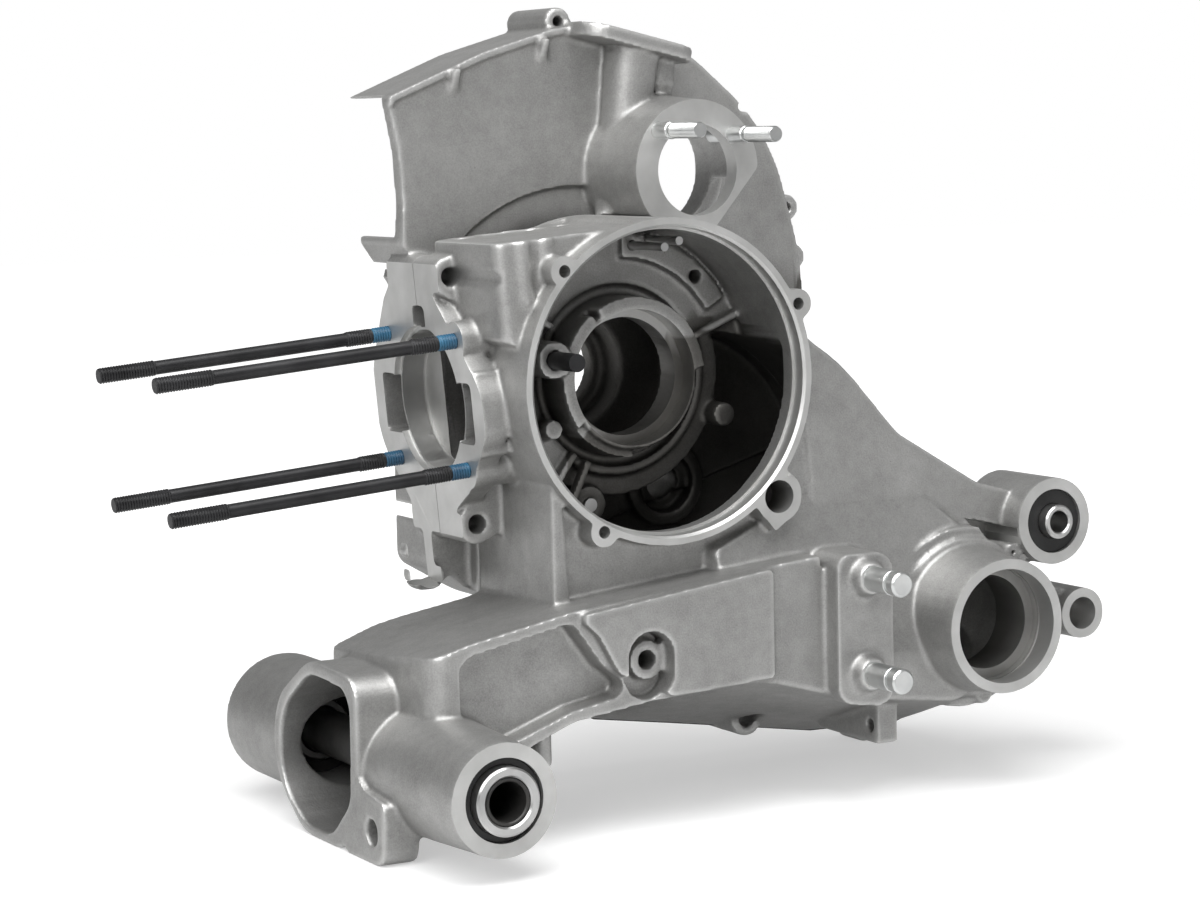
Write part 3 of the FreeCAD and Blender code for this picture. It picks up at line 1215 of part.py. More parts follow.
def gasket(near_half, far_half):
    # thin sheet wherever the two halves face each other
    far = REACH
    near_skin = near_half.common(block(-far, far, JOINT_NEAR_Y - GASKET, JOINT_NEAR_Y, -far, far))
    far_skin = far_half.common(block(-far, far, JOINT_FAR_Y, JOINT_FAR_Y + GASKET, -far, far))
    near_skin.translate(vec(0, GASKET, 0))
    far_skin.translate(vec(0, -GASKET, 0))
    sheet = near_skin.common(far_skin)
    return max(sheet.Solids, key=lambda solid: solid.Volume)


def pivot_bush(y0, y1, outer_r):
    return tube(PIVOT_X, PIVOT_Z, outer_r, SLEEVE_R, y0, y1)


def build():
    near_half = clutch_half()
    far_half = fan_half()
    parts = {"crankcase_half_clutch_side": near_half, "crankcase_half_fan_side": far_half}
    parts["case_gasket"] = gasket(near_half, far_half)
    for name, y, z in stud_spots():
        parts["cylinder_stud_" + name] = cylinder_stud(y, z)
    for name, spot in zip(("left", "right"), STARTER_STUD_SPOTS):
        parts["starter_stud_" + name] = starter_stud(*spot)
    parts["brake_pin_upper"] = brake_pin(PIN_UPPER_Z)
    parts["brake_pin_lower"] = brake_pin(PIN_LOWER_Z)

    near_y = (PIVOT_NEAR_Y, PIVOT_NEAR_Y + BUSH_LENGTH)
    far_y = (PIVOT_FAR_Y - BUSH_LENGTH, PIVOT_FAR_Y)
    parts["pivot_rubber_near"] = pivot_bush(near_y[0] + BUSH_IN, near_y[1], PIVOT_NEAR_BORE_R)
    parts["pivot_rubber_far"] = pivot_bush(far_y[0], far_y[1] - BUSH_IN, PIVOT_FAR_BORE_R)
    inner = SPACER_R + SEAT_GAP
    parts["pivot_sleeve_near"] = tube(PIVOT_X, PIVOT_Z, SLEEVE_R, inner, near_y[0] - SLEEVE_OUT, near_y[1])
    parts["pivot_sleeve_far"] = tube(PIVOT_X, PIVOT_Z, SLEEVE_R, inner, far_y[0], far_y[1] + SLEEVE_OUT)
    parts["pivot_spacer_tube"] = tube(
        PIVOT_X, PIVOT_Z, SPACER_R, SPACER_BORE_R,
        near_y[0] - SLEEVE_OUT + SPACER_IN, far_y[1] + SLEEVE_OUT - SPACER_IN,
    )
    near_end, far_end = SHOCK_Y
    parts["shock_bush_rubber"] = tube(
        SHOCK_X, SHOCK_Z, SHOCK_BORE_R, SHOCK_SLEEVE_R, near_end + SHOCK_RUBBER_IN, far_end - SHOCK_RUBBER_IN
    )
    parts["shock_bush_sleeve"] = tube(
        SHOCK_X, SHOCK_Z, SHOCK_SLEEVE_R, SHOCK_SLEEVE_BORE_R,
        near_end - SHOCK_SLEEVE_OUT, far_end + SHOCK_SLEEVE_OUT,
    )
    root_y = CASE_STUD_BOSS_Y + CASE_STUD_SEAT
    parts["case_stud"] = rod(CASE_STUD_X, CASE_STUD_Z, CASE_STUD_R, CASE_STUD_TIP_Y, root_y)
    plug_y = (FLOOR_Y - GALLERY_PLUG_OUT, FLOOR_Y + GALLERY_PLUG_SEAT)
    parts["gallery_plug"] = rod(GALLERY_PLUG_X, GALLERY_PLUG_Z, GALLERY_PLUG_R, *plug_y)
    root_y = FLOOR_Y + GUIDE_PIN_SEAT
    for name, spot, out in zip(("left", "right"), GUIDE_PIN_SPOTS, GUIDE_PIN_OUT):
        parts["guide_pin_" + name] = rod(spot[0], spot[1], GUIDE_PIN_R, FLOOR_Y - out, root_y)
    for name, spot in zip(("rear", "front"), DOWEL_SPOTS):
        parts["case_dowel_" + name] = tube(
            spot[0], spot[1], DOWEL_R, DOWEL_BORE_R, SPLIT_Y - DOWEL_LENGTH / 2, SPLIT_Y + DOWEL_LENGTH / 2
        )
    return parts


os.makedirs("parts", exist_ok=True)
for part_name, shape in build().items():
    solids = shape.Solids
    if len(solids) == 1:
        shape = solids[0]
    shape.exportStep("parts/" + part_name + ".step")
    print(part_name, "solids", len(solids), "valid", shape.isValid(), "volume %.0f mm3" % shape.Volume)
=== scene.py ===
import math

import bmesh
import bpy
import numpy as np
from mathutils import Matrix, Vector


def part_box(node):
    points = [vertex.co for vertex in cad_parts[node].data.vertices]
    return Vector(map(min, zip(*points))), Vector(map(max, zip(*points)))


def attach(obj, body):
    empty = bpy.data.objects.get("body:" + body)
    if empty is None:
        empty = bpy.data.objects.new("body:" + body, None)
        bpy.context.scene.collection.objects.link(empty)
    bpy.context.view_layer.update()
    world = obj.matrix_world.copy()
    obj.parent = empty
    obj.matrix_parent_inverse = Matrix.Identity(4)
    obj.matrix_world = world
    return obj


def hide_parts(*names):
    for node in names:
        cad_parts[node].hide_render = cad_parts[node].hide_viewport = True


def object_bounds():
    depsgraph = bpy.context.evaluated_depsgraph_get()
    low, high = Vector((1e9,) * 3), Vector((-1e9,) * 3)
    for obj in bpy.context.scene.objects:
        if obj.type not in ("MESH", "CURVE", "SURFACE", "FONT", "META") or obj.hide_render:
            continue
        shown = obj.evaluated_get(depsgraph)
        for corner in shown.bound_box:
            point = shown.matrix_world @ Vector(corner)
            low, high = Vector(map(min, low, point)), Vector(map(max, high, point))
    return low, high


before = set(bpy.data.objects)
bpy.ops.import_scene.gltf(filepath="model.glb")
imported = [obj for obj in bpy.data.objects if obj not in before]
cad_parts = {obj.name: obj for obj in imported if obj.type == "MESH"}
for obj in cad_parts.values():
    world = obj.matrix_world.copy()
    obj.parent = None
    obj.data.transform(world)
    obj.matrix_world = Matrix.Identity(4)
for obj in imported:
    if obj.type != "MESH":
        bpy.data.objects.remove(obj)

cad_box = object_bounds()


# The clutch-side casting: die-cast aluminium, drum, gearbox front and swing arm in one piece.
# It is cast soft-edged with a little stock on each seat, and then faced and bored, which leaves
# bright crisp faces.
MM = 0.001
VOXEL = 1.15
STOCK = 1.4
CAST_FACES = 176000
CAST_DARK = (0.27, 0.268, 0.262, 1.0)
CAST_LIGHT = (0.50, 0.498, 0.49, 1.0)
# bright colour of worn edges, also a painted highlight on the convex edges
CAST_EDGE = (0.68, 0.68, 0.67, 1.0)
# dark colour of the small pits, also used for the painted shade in recesses
CAST_PIT_AND_SHADE = (0.07, 0.068, 0.062, 1.0)
# painted shade colour, multiplied in deep inside the round hollows
CAST_HOLLOW_SHADE = (0.30, 0.292, 0.28, 1.0)
MACHINED_DARK = (0.50, 0.50, 0.49, 1.0)
MACHINED_LIGHT = (0.68, 0.68, 0.67, 1.0)


def group(name, inputs, outputs):
    # empty shader group with its named sockets
    tree = bpy.data.node_groups.new(name, "ShaderNodeTree")
    for label, kind in outputs:
        tree.interface.new_socket(label, in_out="OUTPUT", socket_type="NodeSocket" + kind)
    for label, kind, value in inputs:
        socket = tree.interface.new_socket(label, in_out="INPUT", socket_type="NodeSocket" + kind)
        socket.default_value = value
    return tree, tree.nodes.new("NodeGroupInput"), tree.nodes.new("NodeGroupOutput")


def place(tree, kind, links=None, **values):
    # one node with its values and the sockets that feed it
    node = tree.nodes.new("ShaderNode" + kind)
    for key, value in values.items():
        setattr(node, key, value)
    for key, source in (links or {}).items():
        if hasattr(source, "is_output"):
            tree.links.new(source, node.inputs[key])
        else:
            node.inputs[key].default_value = source
    return node


def ramp(tree, source, low, high):
    # mask that goes from 0 at the low value to 1 at the high one
    return place(tree, "MapRange", {"Value": source, "From Min": low, "From Max": high}).outputs[0]


def blended(tree, factor, first, second, kind="MIX"):
    node = place(tree, "Mix", data_type="RGBA", blend_type=kind)
    for socket, source in zip((node.inputs[0], node.inputs[6], node.inputs[7]), (factor, first, second)):
        if hasattr(source, "is_output"):
            tree.links.new(source, socket)
        else:
            socket.default_value = source
    return node.outputs[2]


# Skin of a die casting: fine pebbled grain, drifting tone, small dark pits, bright edges that are partly wear
# and partly painted highlight, painted shade in recesses and painted shade deep in the round hollows.
skin, skin_in, skin_out = group(
    "cast_skin",
    [("Grain Size", "Float", 900.0), ("Drift Size", "Float", 26.0), ("Pits", "Float", 0.5)],
    [("Tone", "Float"), ("Pitting", "Float"), ("Height", "Float"), ("Edge", "Float"), ("Recess", "Float"),
     ("Hollow Shade", "Float")],
)
where = place(skin, "TexCoord").outputs["Object"]
grain = place(skin, "TexNoise", {"Vector": where, "Scale": skin_in.outputs["Grain Size"], "Detail": 3.0})
drift = place(
    skin, "TexNoise",
    {"Vector": where, "Scale": skin_in.outputs["Drift Size"], "Detail": 5.0, "Roughness": 0.62},
)
mottle = place(skin, "TexNoise", {"Vector": where, "Scale": 150.0, "Detail": 4.0, "Roughness": 0.65})
pits = place(skin, "TexVoronoi", {"Vector": where, "Scale": 240.0, "Randomness": 1.0})
pit_mask = ramp(skin, pits.outputs["Distance"], 0.10, 0.02)
pit_where = ramp(skin, drift.outputs[0], 0.50, 0.66)
relief = place(skin, "Attribute", attribute_name="relief").outputs["Fac"]
speckle = place(skin, "TexNoise", {"Vector": where, "Scale": 1400.0, "Detail": 2.0})
tone = place(
    skin, "Math", {0: ramp(skin, drift.outputs[0], 0.30, 0.72), 1: 0.40}, operation="MULTIPLY"
).outputs[0]
tone = place(
    skin, "Math", {0: ramp(skin, mottle.outputs[0], 0.32, 0.70), 1: 0.25, 2: tone}, operation="MULTIPLY_ADD"
).outputs[0]
tone = place(
    skin, "Math", {0: ramp(skin, speckle.outputs[0], 0.30, 0.70), 1: 0.35, 2: tone}, operation="MULTIPLY_ADD"
).outputs[0]
pitting = place(skin, "Math", {0: pit_mask, 1: pit_where}, operation="MULTIPLY").outputs[0]
pitting = place(skin, "Math", {0: pitting, 1: skin_in.outputs["Pits"]}, operation="MULTIPLY").outputs[0]
height = place(
    skin, "Math", {0: mottle.outputs[0], 1: 0.8, 2: grain.outputs[0]}, operation="MULTIPLY_ADD"
).outputs[0]
height = place(skin, "Math", {0: height, 1: pitting}, operation="SUBTRACT").outputs[0]
# Edge: bright convex edges, partly wear and partly painted highlight; Recess and Hollow Shade: painted shade
for label, source in (
    ("Tone", tone), ("Pitting", pitting), ("Height", height),
    ("Edge", ramp(skin, relief, 0.47, 0.30)), ("Recess", ramp(skin, relief, 0.54, 0.72)),
    ("Hollow Shade", place(skin, "Attribute", attribute_name="stain_and_shade").outputs["Fac"]),
):
    skin.links.new(source, skin_out.inputs[label])


def material(name, metallic, roughness):
    made = bpy.data.materials.new(name)
    made.use_nodes = True
    shader = made.node_tree.nodes["Principled BSDF"]
    shader.inputs["Metallic"].default_value = metallic
    shader.inputs["Roughness"].default_value = roughness
    return made, made.node_tree, shader


def cast_material(name, dark, light, pit_and_shade, bump):
    made, tree, shader = material(name, 0.85, 0.5)
    marks = place(tree, "Group", node_tree=skin)
    colour = blended(tree, marks.outputs["Tone"], dark, light)
    # convex edges lightened towards the edge colour: partly wear, partly painted highlight
    colour = blended(tree, marks.outputs["Edge"], colour, CAST_EDGE)
    # painted shade: recesses darkened half-way towards the dark pit colour
    colour = blended(tree, marks.outputs["Recess"], colour, blended(tree, 0.55, colour, pit_and_shade))
    colour = blended(tree, marks.outputs["Pitting"], colour, pit_and_shade)
    # painted shade: deep inside the hollows the colour is multiplied by the hollow shade colour
    colour = blended(tree, marks.outputs["Hollow Shade"], colour, blended(tree, 1.0, colour, CAST_HOLLOW_SHADE, "MULTIPLY"))
    tree.links.new(colour, shader.inputs["Base Color"])
    rough = place(tree, "MapRange", {"Value": marks.outputs["Tone"], "To Min": 0.56, "To Max": 0.44})
    tree.links.new(rough.outputs[0], shader.inputs["Roughness"])
    bumps = place(tree, "Bump", {"Height": marks.outputs["Height"], "Distance": bump * MM, "Strength": 0.6})
    tree.links.new(bumps.outputs[0], shader.inputs["Normal"])
    return made


cast_skin = cast_material("cast_aluminium", CAST_DARK, CAST_LIGHT, CAST_PIT_AND_SHADE, 0.16)

# Faced and bored aluminium: bright, with fine cutter marks
machined, tree, shader = material("machined_aluminium", 0.85, 0.4)
where = place(tree, "TexCoord").outputs["Object"]
feed = place(
    tree, "Mapping", {"Vector": where, "Scale": (1.0, 1.0, 9.0), "Rotation": (0.0, 0.6, 0.0)}
)
cutter = place(tree, "TexNoise", {"Vector": feed.outputs[0], "Scale": 260.0, "Detail": 4.0, "Roughness": 0.7})
stain_and_shade = place(tree, "TexNoise", {"Vector": where, "Scale": 40.0, "Detail": 4.0})
stained = ramp(tree, stain_and_shade.outputs[0], 0.3, 0.7)
colour = blended(tree, stained, MACHINED_DARK, MACHINED_LIGHT)
# painted shade deep inside the hollows, as on the cast skin
deep_shade = place(tree, "Attribute", attribute_name="stain_and_shade").outputs["Fac"]
colour = blended(tree, deep_shade, colour, blended(tree, 1.0, colour, CAST_HOLLOW_SHADE, "MULTIPLY"))
tree.links.new(colour, shader.inputs["Base Color"])
tree.links.new(
    place(tree, "MapRange", {"Value": cutter.outputs[0], "To Min": 0.34, "To Max": 0.52}).outputs[0],
    shader.inputs["Roughness"],
)
tree.links.new(
    place(tree, "Bump", {"Height": cutter.outputs[0], "Distance": 0.03 * MM, "Strength": 0.5}).outputs[0],
    shader.inputs["Normal"],
)

# Directions of the cylinder, which leans a little below level towards the front wheel
LEAN = math.radians(4.8)
AFT = Vector((math.cos(LEAN), 0.0, math.sin(LEAN)))
ACROSS = Vector((0.0, 1.0, 0.0))
LIFT = Vector((-math.sin(LEAN), 0.0, math.cos(LEAN)))


def show(name, mesh, materials=()):
    piece = bpy.data.objects.new(name, mesh)
    bpy.context.scene.collection.objects.link(piece)
    for item in materials:
        mesh.materials.append(item)
    return piece


def turned(name, start, direction, profile, sides=96, hollow=False):
    # solid of revolution in millimetres; each profile row is (distance along the axis, radius)
    axis = Vector(direction).normalized()
    side = axis.orthogonal().normalized()
    other = axis.cross(side)
    rows = len(profile)
    form = bmesh.new()
    rings = []
    for along, radius in profile:
        ring = []
        for k in range(sides):
            angle = 2 * math.pi * k / sides
            spoke = side * math.cos(angle) + other * math.sin(angle)
            ring.append(form.verts.new((Vector(start) + axis * along + spoke * radius) * MM))
        rings.append(ring)
    for i in range(rows if hollow else rows - 1):
        near, far = rings[i], rings[(i + 1) % rows]
        for k in range(sides):
            form.faces.new((near[k], near[(k + 1) % sides], far[(k + 1) % sides], far[k]))
    if not hollow:
        form.faces.new(rings[0])
        form.faces.new(rings[-1])
    bmesh.ops.recalc_face_normals(form, faces=form.faces)
    mesh = bpy.data.meshes.new(name)
    form.to_mesh(mesh)
    form.free()
    return mesh


def rod(start, direction, radius, length, sides=96):
    return turned("rod", start, direction, [(0.0, radius), (length, radius)], sides)


def slab(low, high):
    # upright block between two corners, in millimetres
    form = bmesh.new()
    bmesh.ops.create_cube(form, size=1.0)
    middle = (Vector(low) + Vector(high)) / 2
    for vert in form.verts:
        size = Vector(high) - Vector(low)
        vert.co = Vector([middle[i] + vert.co[i] * size[i] for i in range(3)]) * MM
    mesh = bpy.data.meshes.new("slab")
    form.to_mesh(mesh)
    form.free()
    return mesh


def applied(piece):
    # the piece with its modifiers made final
    settled = piece.evaluated_get(bpy.context.evaluated_depsgraph_get())
    shape = bpy.data.meshes.new_from_object(settled)
    piece.modifiers.clear()
    piece.data = shape
    return piece


def combined(piece, meshes, operation):
    # one boolean after another, each with one mesh
    for mesh in meshes:
        other = show("operand", mesh)
        change = piece.modifiers.new("change", "BOOLEAN")
        change.operation = operation
        change.solver = "MANIFOLD"
        change.object = other
        applied(piece)
        bpy.data.objects.remove(other)
    return piece


def shaded(mesh, limit=32.0):
    # smooth faces, with a crease wherever the edge is sharper than the limit in degrees
    form = bmesh.new()
    form.from_mesh(mesh)
    for face in form.faces:
        face.smooth = True
    for edge in form.edges:
        edge.smooth = edge.calc_face_angle(0.0) < math.radians(limit)
    form.to_mesh(mesh)
    form.free()


def measure_relief(mesh):
    # how far a surface is hollowed or ridged, kept on the points for the cast material
    count = len(mesh.vertices)
    spots = np.empty(count * 3, np.float32)
    mesh.vertices.foreach_get("co", spots)
    spots = spots.reshape(-1, 3)
    normals = np.empty(count * 3, np.float32)
    mesh.vertex_normals.foreach_get("vector", normals)
    normals = normals.reshape(-1, 3)
    ends = np.empty(len(mesh.edges) * 2, np.int32)
    mesh.edges.foreach_get("vertices", ends)
    a, b = ends.reshape(-1, 2).T
    step = spots[b] - spots[a]
    length = np.maximum(np.linalg.norm(step, axis=1), 1e-6)
    value = np.zeros(count)
    share = np.zeros(count)
    rise_a = (step * normals[a]).sum(1) / length
    rise_b = -(step * normals[b]).sum(1) / length
    np.add.at(value, a, rise_a)
    np.add.at(value, b, rise_b)
    np.add.at(share, a, 1)
    np.add.at(share, b, 1)
    share = np.maximum(share, 1)
    value /= share
    for _ in range(3):
        spread = np.zeros(count)
        np.add.at(spread, a, value[b])
        np.add.at(spread, b, value[a])
        value = 0.5 * value + 0.5 * spread / share
    relief = mesh.attributes.new("relief", "FLOAT", "POINT")
    relief.data.foreach_set("value", (0.5 + value).astype(np.float32))


def measure_hollow_shade(mesh, hollows):
    # painted shade deep inside each round hollow, darker with depth: (point, direction, radius, start depth,
    # full depth)
    spots = np.empty(len(mesh.vertices) * 3, np.float32)
    mesh.vertices.foreach_get("co", spots)
    spots = spots.reshape(-1, 3) / MM
    stain_and_shade = np.zeros(len(spots))
    for point, direction, radius, start, full in hollows:
        offset = spots - np.array(point)
        depth = offset @ np.array(direction)
        away = np.linalg.norm(offset - np.outer(depth, direction), axis=1)
        inside = np.clip((radius + 0.6 - away) / 0.5, 0.0, 1.0)
        stain_and_shade = np.maximum(stain_and_shade, inside * np.clip((depth - start) / (full - start), 0.0, 1.0))
    kept = mesh.attributes.new("stain_and_shade", "FLOAT", "POINT")
    kept.data.foreach_set("value", stain_and_shade.astype(np.float32))


def prism(corners, y0, y1):
    # straight-sided block from an (x, z) outline, in millimetres
    form = bmesh.new()
    front = [form.verts.new(Vector((x, y0, z)) * MM) for x, z in corners]
    back = [form.verts.new(Vector((x, y1, z)) * MM) for x, z in corners]
    form.faces.new(front)
    form.faces.new(back)
    for k in range(len(corners)):
        after = (k + 1) % len(corners)
        form.faces.new((front[k], front[after], back[after], back[k]))
    bmesh.ops.recalc_face_normals(form, faces=form.faces)
    mesh = bpy.data.meshes.new("prism")
    form.to_mesh(mesh)
    form.free()
    return mesh


def casting(name, node, seats, plugs, cutters, skins, hollows, extras=()):
    # stock on the seats, bores plugged, soft cast edges, and then the machining
    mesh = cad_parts[node].data.copy()
    mesh.materials.clear()
    form = bmesh.new()
    form.from_mesh(mesh)
    bmesh.ops.remove_doubles(form, verts=form.verts, dist=2e-6)
    for vert in form.verts:
        for point, normal, reach in seats:
            offset = vert.co / MM - Vector(point)
            height = offset.dot(normal)
            if abs(height) < 0.02 and (offset - normal * height).length < reach:
                vert.co += normal * STOCK * MM
                break
    form.to_mesh(mesh)
    form.free()
    piece = combined(show(name, mesh), list(extras) + plugs, "UNION")
    grid = piece.modifiers.new("grid", "REMESH")
    grid.mode = "VOXEL"
    grid.voxel_size = VOXEL * MM
    soft = piece.modifiers.new("soft", "SMOOTH")
    soft.factor = 0.5
    soft.iterations = 5
    applied(piece)
    fewer = piece.modifiers.new("fewer", "DECIMATE")
    fewer.ratio = min(1.0, CAST_FACES / (2 * len(piece.data.polygons)))
    applied(piece)
    piece.data.materials.clear()
    for item in skins:
        piece.data.materials.append(item)
    for mesh in cutters:
        for item in skins:
            mesh.materials.append(item)
        for face in mesh.polygons:
            face.material_index = 1
    combined(piece, cutters, "DIFFERENCE")
    measure_relief(piece.data)
    # painted shade deep in the round hollows, kept on the points
    measure_hollow_shade(piece.data, hollows)
    shaded(piece.data)
    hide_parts(node)
    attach(piece, "root")
    return piece


FRONT = -ACROSS
BACK = ACROSS
HUB = (154.3, -118.0)
PIVOT = (-117.9, -159.5)
SHOCK = (201.8, -76.5)
EXHAUST = (230.2, -124.6)
FILLER = (53.6, -54.2)
STARTER = (40.7, 90.8)
COVER_SCREWS = ((65.113, 31.197), (-51.85, 50.244), (-35.224, -63.026))
SEAT_POINT = AFT * -82.8 + ACROSS * 75.5 + LIFT * -1.2


def bore(spot, y, radius, depth):
    return rod((spot[0], y, spot[1]), BACK, radius, depth)


def seat_plugs():
    return [rod(SEAT_POINT - AFT * STOCK, AFT, 32.5, 15.4)]


def seat_cutters():
    return [
        rod(SEAT_POINT - AFT * 12.0, AFT, 84.0, 12.0),
        rod(SEAT_POINT - AFT * 2.0, AFT, 33.5, 5.0),
        rod(SEAT_POINT - AFT * 2.0, AFT, 31.5, 17.0),
    ]


def bored(spot, y, radius, depth, over=2.0):
    return bore(spot, y - over, radius, depth + over)


near_seats = [
    ((0.0, 0.0, 0.0), FRONT, 90.0),
    ((HUB[0], -31.4, HUB[1]), FRONT, 34.0),
    ((PIVOT[0], -62.5, PIVOT[1]), FRONT, 26.0),
    ((SHOCK[0], -3.5, SHOCK[1]), FRONT, 22.0),
    ((SHOCK[0], 40.0, SHOCK[1]), BACK, 22.0),
    ((EXHAUST[0], 12.7, EXHAUST[1]), FRONT, 14.0),
    ((0.0, 75.8, 0.0), BACK, 400.0),
    (tuple(SEAT_POINT), -AFT, 80.0),
]
near_plugs = seat_plugs() + [
    turned(
        "plug", (0.0, -STOCK, 0.0), BACK, [(0, 66.3), (9.8, 66.3), (9.8, 69.0), (0, 69.0)], hollow=True
    ),
    bore(HUB, -31.4 - STOCK, 27.0, 38.0),
    bore(PIVOT, -62.5 - STOCK, 18.7, 47.0),
    bore(SHOCK, -3.5 - STOCK, 16.0, 46.0),
    bore(EXHAUST, 12.7 - STOCK, 8.7, 35.0),
    bore(FILLER, -STOCK, 8.4, 20.0),
    bore((0.0, 0.0), 34.0, 32.0, 20.0),
]
near_plugs += [bore(spot, -STOCK, 3.4, 14.0) for spot in COVER_SCREWS]
near_cutters = seat_cutters() + [
    bore((0.0, 0.0), -12.0, 73.5, 12.0),
    bore((54.8, -60.5), -12.0, 15.5, 12.0),
    bored((0.0, 0.0), 0.0, 67.5, 8.0),
    turned(
        "edge", (0.0, -2.0, 0.0), BACK,
        [(0.0, 70.9), (2.5, 68.1), (3.2, 67.4), (3.2, 40.0), (0.0, 40.0)], 128,
    ),
    bored(HUB, -43.4, 36.0, 12.0),
    bored(HUB, -31.4, 26.1, 15.9),
    bored(HUB, -31.4, 21.6, 41.0),
    turned(
        "groove", (HUB[0], -20.5, HUB[1]), BACK,
        [(0, 20.0), (0, 27.3), (1.6, 27.3), (1.6, 20.0)], hollow=True,
    ),
    bored(PIVOT, -74.5, 28.0, 12.0),
    bored(PIVOT, -62.5, 17.7, 46.0),
    bored(SHOCK, -15.5, 24.0, 12.0),
    bored(SHOCK, -3.5, 15.0, 50.0),
    bored(SHOCK, 42.0, 24.0, 8.0),
    bored(EXHAUST, 0.7, 15.0, 12.0),
    bored(EXHAUST, 12.7, 7.7, 40.0),
    bored(FILLER, 0.0, 7.4, 46.0),
    prism(((160.5, -73.2), (186.0, -79.4), (184.5, -83.0), (185.5, -86.6), (168.0, -83.2)), -2.0, 28.0),
    bored((0.0, 0.0), 33.0, 30.5, 11.0),
    bored((0.0, 0.0), 44.0, 26.5, 16.0),
    bore((0.0, 0.0), 75.8, 72.5, 12.0),
    slab((-62.0, 75.8, -184.0), (210.0, 87.8, 68.0)),
    slab((-112.0, 75.8, -76.0), (-50.0, 87.8, 64.0)),
]
for spot in COVER_SCREWS:
    near_cutters.append(bore(spot, -12.0, 9.5, 12.0))
    near_cutters.append(bored(spot, 0.0, 2.75, 14.0))
near_hollows = [
    ((0.0, 0.0, 0.0), (0, 1, 0), 66.9, 10.0, 110.0),
    ((42.7, 0.0, -54.6), (0, 1, 0), 73.0, 14.0, 30.0),
    ((HUB[0], -31.4, HUB[1]), (0, 1, 0), 26.6, 6.0, 22.0),
    ((PIVOT[0], -62.5, PIVOT[1]), (0, 1, 0), 18.0, 20.0, 44.0),
    ((EXHAUST[0], 12.7, EXHAUST[1]), (0, 1, 0), 8.0, 2.0, 12.0),
    ((FILLER[0], 0.0, FILLER[1]), (0, 1, 0), 7.8, 1.0, 9.0),
    (tuple(SEAT_POINT), tuple(AFT), 33.0, 8.0, 40.0),
]
near_case = casting(
    "clutch_side_casting", "crankcase_half_clutch_side", near_seats, near_plugs, near_cutters,
    [cast_skin, machined], near_hollows,
)


# The fan-side casting: shroud wall, starter seat, cable tunnel with its flange and the far half
# of the gearbox. Same alloy and finish as the other half, faced where the starter motor, the fan
# cover and the cylinder go.
far_seats = [
    ((STARTER[0], 44.6, STARTER[1]), FRONT, 34.0),
    ((0.0, 76.2, 0.0), FRONT, 400.0),
    ((0.0, 130.0, 0.0), BACK, 200.0),
    ((PIVOT[0], 166.3, PIVOT[1]), BACK, 32.0),
    (tuple(SEAT_POINT), -AFT, 80.0),
]
far_plugs = seat_plugs() + [
    bore(STARTER, 44.6 - STOCK, 21.5, 10.0),
    bore(PIVOT, 120.0, 21.0, 46.3 + STOCK),
]
far_cutters = seat_cutters() + [
    bored(STARTER, 32.6, 40.0, 12.0),
    bored(STARTER, 44.6, 20.5, 12.0),
    bore((0.0, 0.0), 64.2, 72.4, 12.0),
    slab((-62.0, 64.2, -198.0), (210.0, 76.2, 40.0)),
    slab((-112.0, 64.2, -110.0), (-50.0, 76.2, 62.0)),
    bored(PIVOT, 168.3, 34.0, 10.0),
    bore(PIVOT, 118.0, 20.0, 52.0),
    bore((0.0, 0.0), 130.0, 200.0, 12.0),
]
far_hollows = [
    ((0.0, 0.0, 0.0), (0, 1, 0), 66.9, 10.0, 110.0),
    ((42.7, 0.0, -54.6), (0, 1, 0), 73.0, 14.0, 30.0),
    (tuple(SEAT_POINT), tuple(AFT), 33.0, 8.0, 40.0),
]
# stump of metal under the tunnel flange, as thick as the flange is there
stump = turned(
    "stump", (43.0, 81.0, 147.0), (0.0, 0.0, -1.0), [(0.0, 6.5), (17.0, 6.5), (22.0, 4.6), (25.0, 0.8)]
)
far_case = casting(
    "fan_side_casting", "crankcase_half_fan_side", far_seats, far_plugs, far_cutters,
    [cast_skin, machined], far_hollows, [stump],
)


# Four long cylinder studs of black oxidised steel, screwed into the cylinder seat.
# Rolled threads at both ends, with blue thread locker left on the threads next to the casting.
STUD_LENGTH = 160.5
STUD_TIP = 26.0
STUD_ROOT = 43.5
LOCKER = 30.5
STUD_R = 3.05
STUD_THREAD_R = 3.5
PITCH = 1.25
THREAD_CUT = 0.5


def threaded(name, start, direction, radius, length, pitch, depth, sides=40):
    # rod with a true helical thread that runs out at both ends
    axis = Vector(direction).normalized()
    side = axis.orthogonal().normalized()
    other = axis.cross(side)
    steps = max(8, int(length / pitch * 7))
    form = bmesh.new()
    rings = []
    for i in range(steps + 1):
        along = length * i / steps
        fade = min(1.0, along / pitch, (length - along) / pitch)
        ring = []
        for k in range(sides):
            turn = k / sides
            phase = (along / pitch - turn) % 1.0
            cut = depth * max(0.0, 1.0 - abs(2.0 * phase - 1.0) * 1.15) * fade
            edge = 0.5 * max(0.0, 1.0 - min(along, length - along) / 0.6)
            spoke = side * math.cos(2 * math.pi * turn) + other * math.sin(2 * math.pi * turn)
            ring.append(form.verts.new((Vector(start) + axis * along + spoke * (radius - cut - edge)) * MM))
        rings.append(ring)
    for near, far in zip(rings, rings[1:]):
        for k in range(sides):
            form.faces.new((near[k], near[(k + 1) % sides], far[(k + 1) % sides], far[k]))
    form.faces.new(rings[0])
    form.faces.new(rings[-1])
    bmesh.ops.recalc_face_normals(form, faces=form.faces)
    mesh = bpy.data.meshes.new(name)
    form.to_mesh(mesh)
    form.free()
    return mesh


